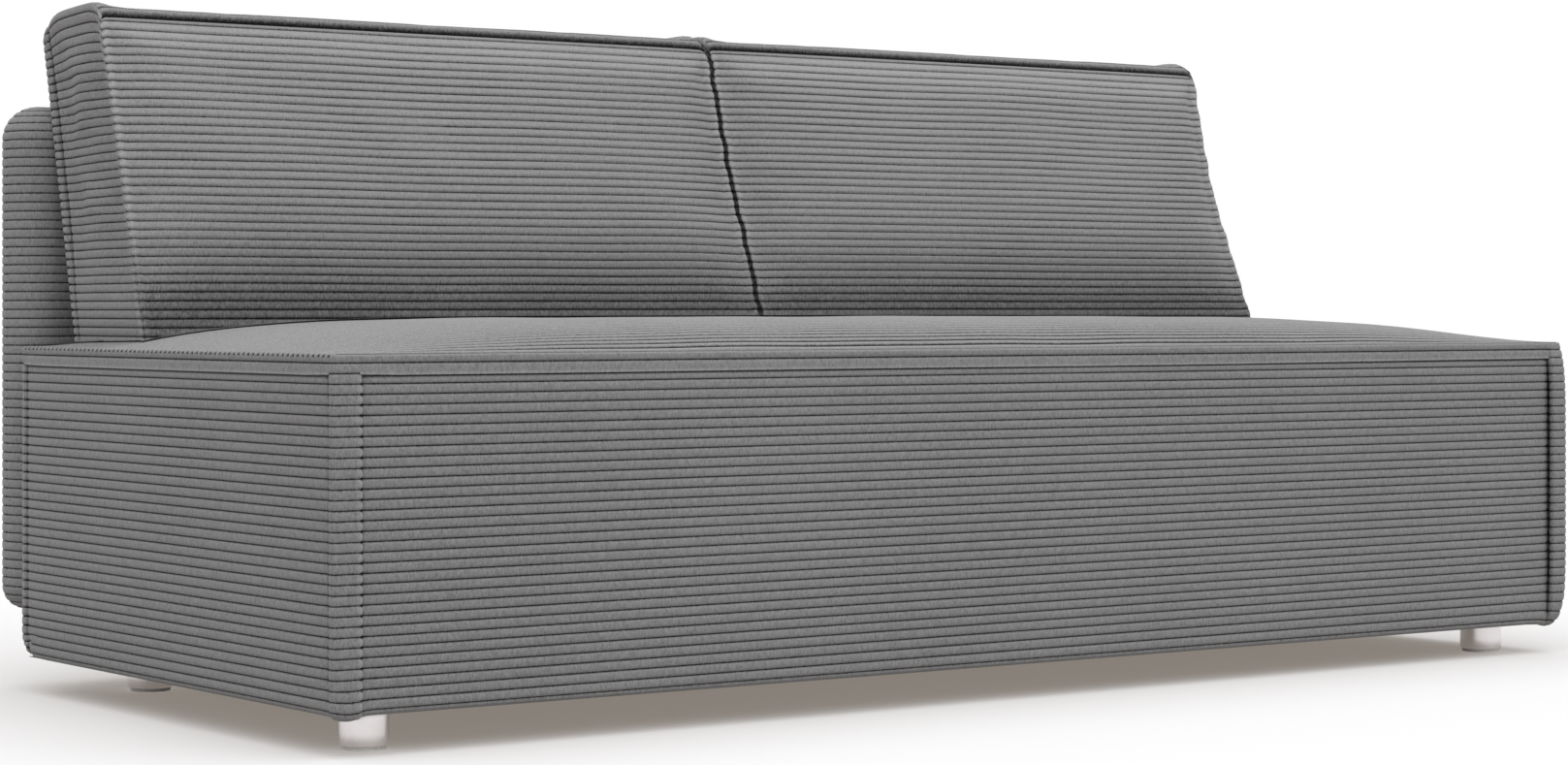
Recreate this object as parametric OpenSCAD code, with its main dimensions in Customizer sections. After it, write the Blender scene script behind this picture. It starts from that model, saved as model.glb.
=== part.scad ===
// Armless sofa: a padded seat block on four round feet, a padded back that folds down flat behind it,
// and two loose boxed cushions. Front faces -Y, Z is up, and the origin is on the floor under the middle.

/* [Seat block] */
// Width of the seat block from end to end
seat_w = 1950; // [1600:10:2300]
// Depth of the seat block
seat_d = 786; // [720:2:900]
// Height of the top edge of the block over the floor
seat_edge_z = 431; // [410:1:470]
// Height of the block's underside over the floor
under_z = 44; // [35:1:60]
// Rise of the seat's middle over its edge
seat_crown = 36; // [10:1:60]
// Height of the band that the top cover turns down over the sides
band_h = 25; // [18:1:40]
// Width of the cover's upright strips at the corners
strip_w = 32; // [22:1:45]
// Thickness of a cover cloth with its lining
cover_t = 3; // [2:0.5:5]
// Thickness of the foam pads on the front and the ends
pad_t = 24; // [12:1:40]

/* [Frame] */
// Thickness of the plywood boards
ply_t = 18; // [12:1:25]
// Height of the top of the frame over the floor
frame_top_z = 310; // [280:1:330]
// Width of a cross member
member_w = 40; // [25:1:60]
// Height of a cross member
member_h = 60; // [40:1:90]
// Number of cross members
members = 3; // [1:1:5]
// Number of zigzag springs
springs = 10; // [4:1:14]
// Number of waves in a spring
spring_waves = 9; // [5:1:12]
// Width of a zigzag spring
spring_w = 50; // [35:1:70]
// Thickness of the spring wire
wire_t = 4; // [3:0.5:5]
// Thickness of the felt over the springs
felt_t = 4; // [2:1:8]

/* [Feet] */
// Diameter of a foot
foot_dia = 56; // [40:1:70]
// Distance of a front foot's axis from the end of the block
front_foot_x = 80; // [70:1:120]
// Distance of a front foot's axis from the front of the block
front_foot_y = 75; // [70:1:120]
// Distance of a rear foot's axis from the end of the block
rear_foot_x = 144; // [100:1:200]
// Distance of a rear foot's axis from the rear of the block
rear_foot_y = 68; // [62:1:110]
// Diameter of a foot's stud
stud_dia = 10; // [8:1:12]
// Thickness of the plastic glide under a foot
glide_t = 4; // [2:1:8]

/* [Back board] */
// Thickness of the padded back
back_t = 93; // [80:1:110]
// Height of the lower edge of the back over the floor
back_bottom_z = 99; // [90:1:120]
// Height of the top of the back over the floor
back_top_z = 732; // [700:1:800]
// Radius of the lower edges of the back
back_low_r = 30; // [25:1:34]
// Radius of the upper edges of the back
back_top_r = 42; // [30:1:44]
// Thickness of the wood frame in the back
back_frame_t = 34; // [28:1:40]
// Height of a rail of the back's frame
back_rail_h = 45; // [35:1:60]
// Running gap between the back and the seat block
back_gap = 1; // [1:0.5:4]

/* [Lift fitting] */
// Distance of the two lift tracks from the middle
track_x = 700; // [500:10:800]
// Width of a lift track
track_w = 40; // [34:1:50]
// Depth of a lift track
track_d = 24; // [22:1:28]
// Wall of a lift track
track_wall = 2.5; // [2:0.5:3]
// Width of the carriage's arm
arm_w = 12; // [8:1:14]
// Diameter of the back's pivot pins
pin_dia = 12; // [8:1:14]
// Height of the arm at the carriage
arm_h = 14; // [12:1:16]
// Thickness of the pivot bracket's plate
bracket_t = 5; // [4:0.5:6]

/* [Support leg] */
// Distance of the support leg's bars from the middle
leg_x = 600; // [400:10:700]
// Distance of the leg's pivot under the top of the back
leg_drop = 52; // [45:1:80]
// Thickness of the flat bar
leg_t = 8; // [6:1:8]
// Width of the flat bar
leg_w = 24; // [18:1:30]
// Diameter of the leg's pivot pins
leg_pin_dia = 6; // [5:1:6]

/* [Cushions] */
// Width of a loose cushion
cushion_w = 916; // [700:2:940]
// Gap between the two cushions
cushion_gap = 5; // [2:1:20]
// Distance of the pair's middle to the left of the sofa's middle
cushion_shift = 14; // [0:1:25]
// Distance of the cushions' lower front edge from the block's rear
cushion_reach = 249; // [226:1:286]
// Height of a cushion along its front face
cushion_h = 386; // [330:2:420]
// Lean of the front face from upright, in degrees
cushion_lean = 17; // [12:1:20]
// Thickness of a cushion at the bottom
cushion_low_t = 182; // [150:1:184]
// Thickness of a cushion at the top
cushion_top_t = 162; // [130:1:164]
// Drop of the cushion's top from its front edge to its rear edge
cushion_drop = 24; // [5:1:40]
// Bulge of a cushion's front face
cushion_crown = 12; // [4:1:25]
// Bulge of a cushion's rear face
cushion_rear_crown = 4; // [0:1:4]
// Draw of a cushion's sides between its corners
cushion_draw = 5; // [0:1:12]

/* [Hidden] */
$fn = 48;

clear = 0.3;        // gap between pieces that lie against each other
over = 1;           // overrun of every cut
play = 0.08;        // radial play of a pin or stud in its bore
lap = 8;            // hidden lap of a cover panel behind the strips and the band
end_crown_share = 8;    // how full the seat's crown stays towards the ends
edge_crown_share = 3;   // how full it stays towards the front and the rear

// The seat block, measured from its front face
half_w = seat_w/2;
rear_y = seat_d;
seam_z = seat_edge_z - band_h;
skin = 2*cover_t + 2*clear;
frame_in = skin + pad_t + clear;
rear_zone = track_d + skin;
rail_rear_y = rear_y - rear_zone;
cloth_t = 1.5;
base_z = under_z + clear + cloth_t + clear;
frame_half = half_w - frame_in;
inner_half = frame_half - ply_t;
spring_z = frame_top_z;
felt_z = spring_z + wire_t + clear;
foam_z = felt_z + felt_t + clear;
strip_rear_w = strip_w/2;

// Springs and their clips
clip_l = 14;
clip_w = 22;
spring_front_y = frame_in + clip_l;
spring_rear_y = rail_rear_y - clip_l;
spring_l = spring_rear_y - spring_front_y;
spring_step = 2*(inner_half - spring_w)/(springs - 1);

// Feet
foot_top_z = under_z + clear;
block_h = 60;
block_reach = 45;
stud_l = 60;
stud_in_foot = 22;
stud_low_z = foot_top_z - stud_in_foot;
insert_dia = stud_dia + 5;
insert_l = 24;
glide_rim = 3;
foot_places = [
    [-half_w + front_foot_x, front_foot_y], [half_w - front_foot_x, front_foot_y],
    [-half_w + rear_foot_x, rear_y - rear_foot_y], [half_w - rear_foot_x, rear_y - rear_foot_y]
];

// The back, its pivot and the lift
back_y = rear_y + back_gap;
back_rear_y = back_y + back_t;
back_inset = 2;
back_half = half_w - back_inset;
pivot_y = back_y + back_low_r;
pivot_z = back_bottom_z + back_low_r;
seat_level_drop = 4;
open_pivot_z = seat_edge_z - seat_level_drop - back_low_r;
eye_r = pin_dia;
carriage_h = 52;
track_slot = arm_w + 2;
track_low_z = pivot_z - carriage_h;
track_over = 2;
track_top_z = open_pivot_z + arm_h/2 + track_over;
track_front_y = rear_y - skin - track_d;
slide_gap = 0.4;
bracket_gap = 0.5;
bracket_h = 34;
bracket_reach = 16;
bracket_half = arm_w/2 + bracket_gap + bracket_t;
notch_gap = 4;
notch_half = bracket_half + notch_gap;
notch_rear_y = pivot_y + bracket_reach + notch_gap;
rail_z = pivot_z + bracket_h + clear;
sheet_t = 4;
frame_front_y = back_y + (back_t - back_frame_t)/2;
stile_w = 60;
back_end_pad = 40;
back_top_pad = 30;
back_frame_half = back_half - back_end_pad;
top_rail_z = back_top_z - back_top_pad - back_rail_h;
screw_dia = 8;
screw_l = 30;
screw_head_h = 4;
screw_head_dia = 12;
screw_set = 5;
screw_y = pivot_y + screw_set;

// The support leg
leg_plate_t = 2;
leg_pin_y = back_rear_y + clear + leg_plate_t + clear + leg_t/2;
leg_pin_z = back_top_z - leg_drop;
open_leg_pin_z = open_pivot_z - (leg_pin_y - pivot_y);
leg_pad_h = 16;
leg_pad_wall = 2;
leg_floor_gap = 0.5;
leg_bar_rise = 32;
leg_l = open_leg_pin_z - leg_floor_gap;
ear_t = 3;
ear_h = 26;
overall_d = leg_pin_y + leg_t/2 + leg_pad_wall;
front_y = -overall_d/2;

// The cushions
cushion_front_y = rear_y - cushion_reach;
cushion_z = seat_edge_z + seat_rise(0, 2*cushion_front_y/seat_d - 1) + clear;
cushion_left_x = -cushion_shift - cushion_gap/2 - cushion_w/2;
cushion_right_x = -cushion_shift + cushion_gap/2 + cushion_w/2;
cushion_low_front = [cushion_front_y, cushion_z];
cushion_low_rear = [cushion_front_y + cushion_low_t, cushion_z];
cushion_top_front = cushion_low_front + cushion_h*[sin(cushion_lean), cos(cushion_lean)];
cushion_top_rear = cushion_top_front + [cushion_top_t, -cushion_drop];
zip_w = 10;
zip_t = 1.5;
zip_end = 60;
zip_gap = 0.9;

// Counts of the grids on the soft forms
cushion_cols = 10;
cushion_rows = 6;
cushion_rings = 3;
seat_cols = 16;
seat_rows = 10;

fabric = [0.45, 0.45, 0.45];
foam_colour = [0.93, 0.90, 0.78];
wood_colour = [0.80, 0.66, 0.47];
steel_colour = [0.45, 0.46, 0.48];
chrome_colour = [0.80, 0.80, 0.82];
dark_colour = [0.15, 0.15, 0.16];

// Points of a grid that crowd towards the edges, from -1 to 1
function spread(i, n) = sin(90*(2*i/n - 1));
function mix(a, b, t) = a + (b - a)*t;
// The seat's rise over its edge, at shares u and v of the half width and the half depth
function seat_rise(u, v) =
    seat_crown*(1 - pow(abs(u), end_crown_share))*(1 - pow(abs(v), edge_crown_share));
// The rim of a grid, in order, as [column, row]
function rim(nu, nv) = concat(
    [for (i = [0:nu - 1]) [i, 0]], [for (j = [0:nv - 1]) [nu, j]],
    [for (i = [nu:-1:1]) [i, nv]], [for (j = [nv:-1:1]) [0, j]]
);

// A closed form between a front grid and a rear grid of points, joined by rings along their rims
module grid_form(nu, nv, rings, at) {
    path = rim(nu, nv);
    count = (nu + 1)*(nv + 1);
    around = len(path);
    front = [for (j = [0:nv]) for (i = [0:nu]) at(i, j, 0)];
    rear = [for (j = [0:nv]) for (i = [0:nu]) at(i, j, 1)];
    middle = [for (k = [1:rings]) for (p = path) at(p[0], p[1], k/(rings + 1))];
    first = function(i, j) j*(nu + 1) + i;
    ring_at = function(k, n) let (p = path[n % around])
        k == 0 ? first(p[0], p[1]) :
        k == rings + 1 ? count + first(p[0], p[1]) : 2*count + (k - 1)*around + n % around;
    faces = concat(
        [for (j = [0:nv - 1]) for (i = [0:nu - 1])
            each [[first(i, j), first(i, j + 1), first(i + 1, j + 1)],
                  [first(i, j), first(i + 1, j + 1), first(i + 1, j)]]],
        [for (j = [0:nv - 1]) for (i = [0:nu - 1])
            each [[count + first(i, j), count + first(i + 1, j + 1), count + first(i, j + 1)],
                  [count + first(i, j), count + first(i + 1, j), count + first(i + 1, j + 1)]]],
        [for (k = [0:rings]) for (n = [0:around - 1])
            each [[ring_at(k, n), ring_at(k, n + 1), ring_at(k + 1, n + 1)],
                  [ring_at(k, n), ring_at(k + 1, n + 1), ring_at(k + 1, n)]]]
    );
    polyhedron(points = concat(front, rear, middle), faces = faces);
}

// A boxed cushion that leans back, smaller by inset all round
module cushion_form(inset) {
    half = cushion_w/2 - inset;
    grow = [inset, inset];
    lf = cushion_low_front + grow;
    lr = cushion_low_rear + [-inset, inset];
    tf = cushion_top_front + [inset, -inset];
    tr = cushion_top_rear + [-inset, -inset];
    outward = [-cos(cushion_lean), sin(cushion_lean)];
    point = function(i, j, k) let (
        u = spread(i, cushion_cols),
        v = spread(j, cushion_rows),
        low = mix(lf, lr, k),
        top = mix(tf, tr, k),
        flat = mix(low, top, (v + 1)/2),
        bulge = mix(cushion_crown, -cushion_rear_crown, k)*(1 - u*u)*(1 - v*v),
        draw = cushion_draw*(1 - pow(2*k - 1, 2))*(v > -1 ? 1 : 0),
        place = flat + outward*bulge - [0, draw*max(v, 0)]
    ) [u*(half - draw), place[0], place[1]];
    grid_form(cushion_cols, cushion_rows, cushion_rings, point);
}

// The seat block's crowned outline, smaller by inset, from a flat underside at low_z
module seat_form(inset, low_z) {
    point = function(i, j, k) let (
        u = spread(i, seat_cols),
        v = spread(j, seat_rows),
        top = seat_edge_z + seat_rise(u, v) - inset
    ) [u*(half_w - inset), mix(rear_y - inset, inset, (1 - v)/2), mix(top, low_z, k)];
    grid_form(seat_cols, seat_rows, 0, point);
}

// A plate given by two corners
module slab(low, high) {
    translate(low)
        cube(high - low);
}

// A copy of the children on the left and on the right of the middle
module both_sides() {
    children();
    mirror([1, 0, 0])
        children();
}

module at_front() {
    translate([0, front_y, 0])
        children();
}

module front_rail() {
    color(wood_colour)
        at_front()
            slab([-inner_half, frame_in, base_z], [inner_half, frame_in + ply_t, frame_top_z]);
}

module rear_rail() {
    color(wood_colour)
        at_front()
            slab([-inner_half, rail_rear_y - ply_t, base_z], [inner_half, rail_rear_y, frame_top_z]);
}

module end_board() {
    color(wood_colour)
        at_front()
            slab([-frame_half, frame_in, base_z], [-inner_half, rail_rear_y, frame_top_z]);
}

module end_board_left() {
    end_board();
}

module end_board_right() {
    mirror([1, 0, 0])
        end_board();
}

module cross_members() {
    color(wood_colour)
        at_front()
            for (i = [1:members])
                translate([-inner_half + i*2*inner_half/(members + 1), 0, 0])
                    slab([-member_w/2, frame_in + ply_t, base_z],
                        [member_w/2, rail_rear_y - ply_t, base_z + member_h]);
}

module corner_blocks() {
    front_in = frame_in + ply_t;
    rear_in = rail_rear_y - ply_t;
    color(wood_colour)
        at_front()
            both_sides()
                difference() {
                    union() {
                        slab([-inner_half, front_in, base_z],
                            [foot_places[0][0] + block_reach, front_foot_y + block_reach, base_z + block_h]);
                        slab([-inner_half, foot_places[2][1] - block_reach, base_z],
                            [foot_places[2][0] + block_reach, rear_in, base_z + block_h]);
                    }
                    for (p = [foot_places[0], foot_places[2]])
                        translate([p[0], p[1], base_z - over])
                            cylinder(d = insert_dia + 2*play, h = block_h + 2*over);
                }
}

// One zigzag spring seen from above: straight bars joined by half rings
module spring_outline() {
    pitch = spring_l/spring_waves/2;
    bar = spring_w - pitch;
    for (i = [0:2*spring_waves - 1])
        translate([0, (i + 0.5)*pitch])
            square([bar, wire_t], center = true);
    for (i = [0:2*spring_waves - 2])
        translate([(i % 2 == 0 ? 1 : -1)*bar/2, (i + 1)*pitch])
            mirror([i % 2 == 0 ? 0 : 1, 0])
                intersection() {
                    difference() {
                        circle(d = pitch + wire_t);
                        circle(d = pitch - wire_t);
                    }
                    translate([0, -pitch])
                        square([pitch, 2*pitch]);
                }
    for (end = [0, 1])
        translate([-wire_t/2, end*(spring_l - pitch/2 - wire_t/2)])
            square([wire_t, pitch/2 + wire_t/2]);
}

module seat_springs() {
    color(steel_colour)
        at_front()
            for (i = [0:springs - 1])
                translate([(i - (springs - 1)/2)*spring_step, spring_front_y, spring_z])
                    linear_extrude(wire_t)
                        spring_outline();
}

module spring_clips() {
    color(steel_colour)
        at_front()
            for (i = [0:springs - 1], y = [frame_in, spring_rear_y])
                translate([(i - (springs - 1)/2)*spring_step - clip_w/2, y, spring_z])
                    cube([clip_w, clip_l, wire_t]);
}

module seat_felt() {
    color(dark_colour)
        at_front()
            slab([-frame_half, frame_in, felt_z], [frame_half, rail_rear_y, felt_z + felt_t]);
}

// The space that a lift track takes in the block, with a gap round it
module track_space(low_z, high_z) {
    both_sides()
        slab([-track_x - track_w/2 - clear, track_front_y - clear, low_z],
            [-track_x + track_w/2 + clear, rear_y + over, high_z]);
}

module seat_foam() {
    color(foam_colour)
        at_front()
            difference() {
                seat_form(skin, foam_z);
                track_space(foam_z - over, track_top_z + clear);
            }
}

module front_pad() {
    color(foam_colour)
        at_front()
            slab([-half_w + skin, skin, base_z], [half_w - skin, skin + pad_t, foam_z - clear]);
}

module end_pad() {
    color(foam_colour)
        at_front()
            slab([-half_w + skin, frame_in, base_z], [-frame_half - clear, rear_y - skin, foam_z - clear]);
}

module end_pad_left() {
    end_pad();
}

module end_pad_right() {
    mirror([1, 0, 0])
        end_pad();
}

module rear_pads() {
    color(foam_colour)
        at_front()
            difference() {
                slab([-frame_half, rail_rear_y + clear, base_z],
                    [frame_half, rear_y - skin, foam_z - clear]);
                track_space(base_z - over, foam_z + over);
            }
}

// The windows of the top cover that the side, front and rear panels fill
module cover_windows() {
    low = under_z - over;
    slab([-half_w + strip_w, -over, low], [half_w - strip_w, cover_t + over, seam_z]);
    slab([-half_w + strip_w, rear_y - cover_t - over, low], [half_w - strip_w, rear_y + over, seam_z]);
    both_sides()
        slab([-half_w - over, strip_w, low], [-half_w + cover_t + over, rear_y - strip_rear_w, seam_z]);
}

module seat_cover() {
    color(fabric)
        at_front()
            difference() {
                seat_form(0, under_z);
                seat_form(cover_t, under_z - over);
                cover_windows();
            }
}

module front_cover() {
    color(fabric)
        at_front()
            slab([-half_w + strip_w - lap, cover_t + clear, under_z],
                [half_w - strip_w + lap, skin - clear, seam_z + lap]);
}

module end_cover() {
    color(fabric)
        at_front()
            slab([-half_w + cover_t + clear, strip_w - lap, under_z],
                [-half_w + skin - clear, rear_y - strip_rear_w + lap, seam_z + lap]);
}

module end_cover_left() {
    end_cover();
}

module end_cover_right() {
    mirror([1, 0, 0])
        end_cover();
}

module rear_cover() {
    slot = arm_w + 2*notch_gap;
    color(fabric)
        at_front()
            difference() {
                slab([-half_w + strip_w - lap, rear_y - skin + clear, under_z],
                    [half_w - strip_w + lap, rear_y - cover_t - clear, seam_z + lap]);
                both_sides()
                    slab([-track_x - slot/2, rear_y - skin, pivot_z - arm_h/2 - notch_gap],
                        [-track_x + slot/2, rear_y, open_pivot_z + arm_h/2 + track_over]);
            }
}

module underside_cloth() {
    color(dark_colour)
        at_front()
            difference() {
                slab([-half_w + skin, skin, under_z + clear],
                    [half_w - skin, rear_y - skin, under_z + clear + cloth_t]);
                for (p = foot_places)
                    translate([p[0], p[1], under_z])
                        cylinder(d = insert_dia, h = cloth_t + over);
            }
}

module foot(place) {
    color(chrome_colour)
        at_front()
            translate([place[0], place[1], 0])
                difference() {
                    translate([0, 0, glide_t])
                        cylinder(d = foot_dia, h = foot_top_z - glide_t);
                    translate([0, 0, stud_low_z])
                        cylinder(d = stud_dia + 2*play, h = foot_top_z);
                }
}

module foot_front_left() {
    foot(foot_places[0]);
}

module foot_front_right() {
    foot(foot_places[1]);
}

module foot_rear_left() {
    foot(foot_places[2]);
}

module foot_rear_right() {
    foot(foot_places[3]);
}

module foot_glides() {
    color(dark_colour)
        at_front()
            for (p = foot_places)
                translate([p[0], p[1], 0])
                    cylinder(d = foot_dia - 2*glide_rim, h = glide_t);
}

module foot_studs() {
    color(steel_colour)
        at_front()
            for (p = foot_places)
                translate([p[0], p[1], stud_low_z])
                    cylinder(d = stud_dia, h = stud_l);
}

module foot_inserts() {
    color(steel_colour)
        at_front()
            for (p = foot_places)
                translate([p[0], p[1], base_z])
                    difference() {
                        cylinder(d = insert_dia, h = insert_l);
                        translate([0, 0, -over])
                            cylinder(d = stud_dia + 2*play, h = insert_l + 2*over);
                    }
}

module lift_tracks() {
    color(steel_colour)
        at_front()
            both_sides()
                difference() {
                    slab([-track_x - track_w/2, track_front_y, track_low_z],
                        [-track_x + track_w/2, track_front_y + track_d, track_top_z]);
                    slab([-track_x - track_w/2 + track_wall, track_front_y + track_wall, track_low_z - over],
                        [-track_x + track_w/2 - track_wall, track_front_y + track_d - track_wall,
                        track_top_z + over]);
                    slab([-track_x - track_slot/2, track_front_y + track_wall, track_low_z - over],
                        [-track_x + track_slot/2, track_front_y + track_d + over, track_top_z + over]);
                }
}

module track_carriages() {
    block_half = track_w/2 - track_wall - slide_gap;
    low_y = track_front_y + track_wall + slide_gap;
    high_y = track_front_y + track_d - track_wall - slide_gap;
    color(steel_colour)
        at_front()
            both_sides()
                translate([-track_x, 0, 0])
                    difference() {
                        union() {
                            slab([-block_half, low_y, pivot_z + arm_h/2 - carriage_h],
                                [block_half, high_y, pivot_z + arm_h/2]);
                            slab([-arm_w/2, low_y, pivot_z - arm_h/2], [arm_w/2, pivot_y, pivot_z + arm_h/2]);
                            translate([-arm_w/2, pivot_y, pivot_z])
                                rotate([0, 90, 0])
                                    cylinder(r = eye_r, h = arm_w);
                        }
                        translate([-arm_w/2 - over, pivot_y, pivot_z])
                            rotate([0, 90, 0])
                                cylinder(d = pin_dia + 2*play, h = arm_w + 2*over);
                    }
}

module pivot_pins() {
    color(chrome_colour)
        at_front()
            both_sides()
                translate([-track_x - bracket_half, pivot_y, pivot_z])
                    rotate([0, 90, 0])
                        cylinder(d = pin_dia, h = 2*bracket_half);
}

module pivot_brackets() {
    color(steel_colour)
        at_front()
            both_sides()
                translate([-track_x, 0, 0])
                    difference() {
                        slab([-bracket_half, pivot_y - bracket_reach, pivot_z - bracket_reach],
                            [bracket_half, pivot_y + bracket_reach, pivot_z + bracket_h]);
                        slab([-bracket_half + bracket_t, pivot_y - bracket_reach - over,
                            pivot_z - bracket_reach - over],
                            [bracket_half - bracket_t, pivot_y + bracket_reach + over,
                            pivot_z + bracket_h - bracket_t]);
                        translate([-bracket_half - over, pivot_y, pivot_z])
                            rotate([0, 90, 0])
                                cylinder(d = pin_dia + 2*play, h = 2*(bracket_half + over));
                        screw_space(play);
                    }
}

// A screw that holds a pivot bracket to the low rail, with its play
module screw_space(gap) {
    translate([0, screw_y, pivot_z + bracket_h - bracket_t])
        cylinder(d = screw_dia + 2*gap, h = screw_l + gap);
}

module bracket_screws() {
    color(steel_colour)
        at_front()
            both_sides()
                translate([-track_x, 0, 0]) {
                    screw_space(0);
                    translate([0, screw_y, pivot_z + bracket_h - bracket_t - screw_head_h])
                        cylinder(d = screw_head_dia, h = screw_head_h);
                }
}

module back_low_rail() {
    color(wood_colour)
        at_front()
            difference() {
                slab([-back_frame_half, frame_front_y, rail_z],
                    [back_frame_half, frame_front_y + back_frame_t, rail_z + back_rail_h]);
                both_sides()
                    translate([-track_x, 0, 0])
                        screw_space(play);
            }
}

module back_top_rail() {
    color(wood_colour)
        at_front()
            slab([-back_frame_half, frame_front_y, top_rail_z],
                [back_frame_half, frame_front_y + back_frame_t, top_rail_z + back_rail_h]);
}

module back_stiles() {
    color(wood_colour)
        at_front()
            for (x = [-back_frame_half, -leg_x - stile_w/2, -stile_w/2, leg_x - stile_w/2,
                back_frame_half - stile_w])
                slab([x, frame_front_y, rail_z + back_rail_h],
                    [x + stile_w, frame_front_y + back_frame_t, top_rail_z]);
}

module back_sheet() {
    color(wood_colour)
        at_front()
            slab([-back_frame_half, frame_front_y - sheet_t, rail_z],
                [back_frame_half, frame_front_y, top_rail_z + back_rail_h]);
}

// The back's outline seen from the end, smaller by inset, with round edges
module back_outline(inset) {
    low = [back_y + inset, back_bottom_z + inset];
    high = [back_rear_y - inset, back_top_z - inset];
    low_r = back_low_r - inset;
    top_r = back_top_r - inset;
    translate([low[0], low[1] + low_r])
        square([high[0] - low[0], high[1] - low[1] - low_r - top_r]);
    translate([low[0] + low_r, low[1]])
        square([high[0] - low[0] - 2*low_r, 2*low_r]);
    translate([low[0] + top_r, high[1] - 2*top_r])
        square([high[0] - low[0] - 2*top_r, 2*top_r]);
    for (y = [low[0] + low_r, high[0] - low_r])
        translate([y, low[1] + low_r])
            circle(r = low_r);
    for (y = [low[0] + top_r, high[0] - top_r])
        translate([y, high[1] - top_r])
            circle(r = top_r);
}

module back_form(inset) {
    half = back_half - inset;
    translate([-half, 0, 0])
        rotate([90, 0, 90])
            linear_extrude(2*half)
                back_outline(inset);
}

// The openings in the back's lower edge for the pivot brackets and the carriages' arms
module back_notches() {
    both_sides()
        slab([-track_x - notch_half, back_y - over, back_bottom_z - over],
            [-track_x + notch_half, notch_rear_y, rail_z - clear]);
}

module back_foam() {
    hollow_half = back_frame_half + clear;
    color(foam_colour)
        at_front()
            difference() {
                back_form(cover_t + clear);
                slab([-hollow_half, frame_front_y - sheet_t - clear, rail_z - clear],
                    [hollow_half, frame_front_y + back_frame_t + clear, top_rail_z + back_rail_h + clear]);
                back_notches();
            }
}

module back_cover() {
    color(fabric)
        at_front()
            difference() {
                back_form(0);
                back_form(cover_t);
                back_notches();
            }
}

module leg_brackets() {
    plate_y = back_rear_y + clear;
    bar_half = leg_w/2 + clear;
    color(steel_colour)
        at_front()
            both_sides()
                translate([-leg_x, 0, 0])
                    difference() {
                        union() {
                            slab([-bar_half - ear_t, plate_y, leg_pin_z - ear_h/2],
                                [bar_half + ear_t, plate_y + leg_plate_t, leg_pin_z + ear_h]);
                            for (x = [-bar_half - ear_t, bar_half])
                                slab([x, plate_y, leg_pin_z - ear_h/2],
                                    [x + ear_t, leg_pin_y + leg_t/2, leg_pin_z + ear_h/2]);
                        }
                        translate([-bar_half - ear_t - over, leg_pin_y, leg_pin_z])
                            rotate([0, 90, 0])
                                cylinder(d = leg_pin_dia + 2*play, h = 2*(bar_half + ear_t + over));
                    }
}

module leg_pins() {
    pin_half = leg_w/2 + clear + ear_t;
    color(chrome_colour)
        at_front()
            both_sides()
                translate([-leg_x - pin_half, leg_pin_y, leg_pin_z])
                    rotate([0, 90, 0])
                        cylinder(d = leg_pin_dia, h = 2*pin_half);
}

module support_leg() {
    low_z = leg_pin_z - leg_l + leg_pad_wall;
    color(steel_colour)
        at_front()
            difference() {
                union() {
                    both_sides()
                        translate([-leg_x, 0, 0]) {
                            slab([-leg_w/2, leg_pin_y - leg_t/2, low_z],
                                [leg_w/2, leg_pin_y + leg_t/2, leg_pin_z]);
                            translate([-leg_w/2, leg_pin_y, leg_pin_z])
                                rotate([0, 90, 0])
                                    cylinder(d = leg_t, h = leg_w);
                        }
                    slab([-leg_x, leg_pin_y - leg_t/2, low_z + leg_bar_rise],
                        [leg_x, leg_pin_y + leg_t/2, low_z + leg_bar_rise + leg_w]);
                }
                both_sides()
                    translate([-leg_x - leg_w/2 - over, leg_pin_y, leg_pin_z])
                        rotate([0, 90, 0])
                            cylinder(d = leg_pin_dia + 2*play, h = leg_w + 2*over);
            }
}

module leg_pads() {
    low_z = leg_pin_z - leg_l;
    color(dark_colour)
        at_front()
            both_sides()
                translate([-leg_x, 0, 0])
                    difference() {
                        slab([-leg_w/2 - leg_pad_wall, leg_pin_y - leg_t/2 - leg_pad_wall, low_z],
                            [leg_w/2 + leg_pad_wall, leg_pin_y + leg_t/2 + leg_pad_wall, low_z + leg_pad_h]);
                        slab([-leg_w/2, leg_pin_y - leg_t/2, low_z + leg_pad_wall],
                            [leg_w/2, leg_pin_y + leg_t/2, low_z + leg_pad_h + over]);
                    }
}

module cushion_fill(x) {
    color(foam_colour)
        at_front()
            translate([x, 0, 0])
                cushion_form(cover_t + clear);
}

module cushion_cover(x) {
    color(fabric)
        at_front()
            translate([x, 0, 0])
                difference() {
                    cushion_form(0);
                    cushion_form(cover_t);
                }
}

// The zip lies along the low end of the rear face
module cushion_zip(x) {
    slope = atan2(cushion_top_rear[0] - cushion_low_rear[0], cushion_top_rear[1] - cushion_low_rear[1]);
    color(dark_colour)
        at_front()
            translate([x - cushion_w/2 + zip_end, cushion_low_rear[0], cushion_z])
                rotate([-slope, 0, 0])
                    translate([0, zip_gap, zip_gap])
                        cube([cushion_w - 2*zip_end, zip_t, zip_w]);
}

module cushion_left_fill() {
    cushion_fill(cushion_left_x);
}

module cushion_left_cover() {
    cushion_cover(cushion_left_x);
}

module cushion_left_zip() {
    cushion_zip(cushion_left_x);
}

module cushion_right_fill() {
    cushion_fill(cushion_right_x);
}

module cushion_right_cover() {
    cushion_cover(cushion_right_x);
}

module cushion_right_zip() {
    cushion_zip(cushion_right_x);
}

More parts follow.
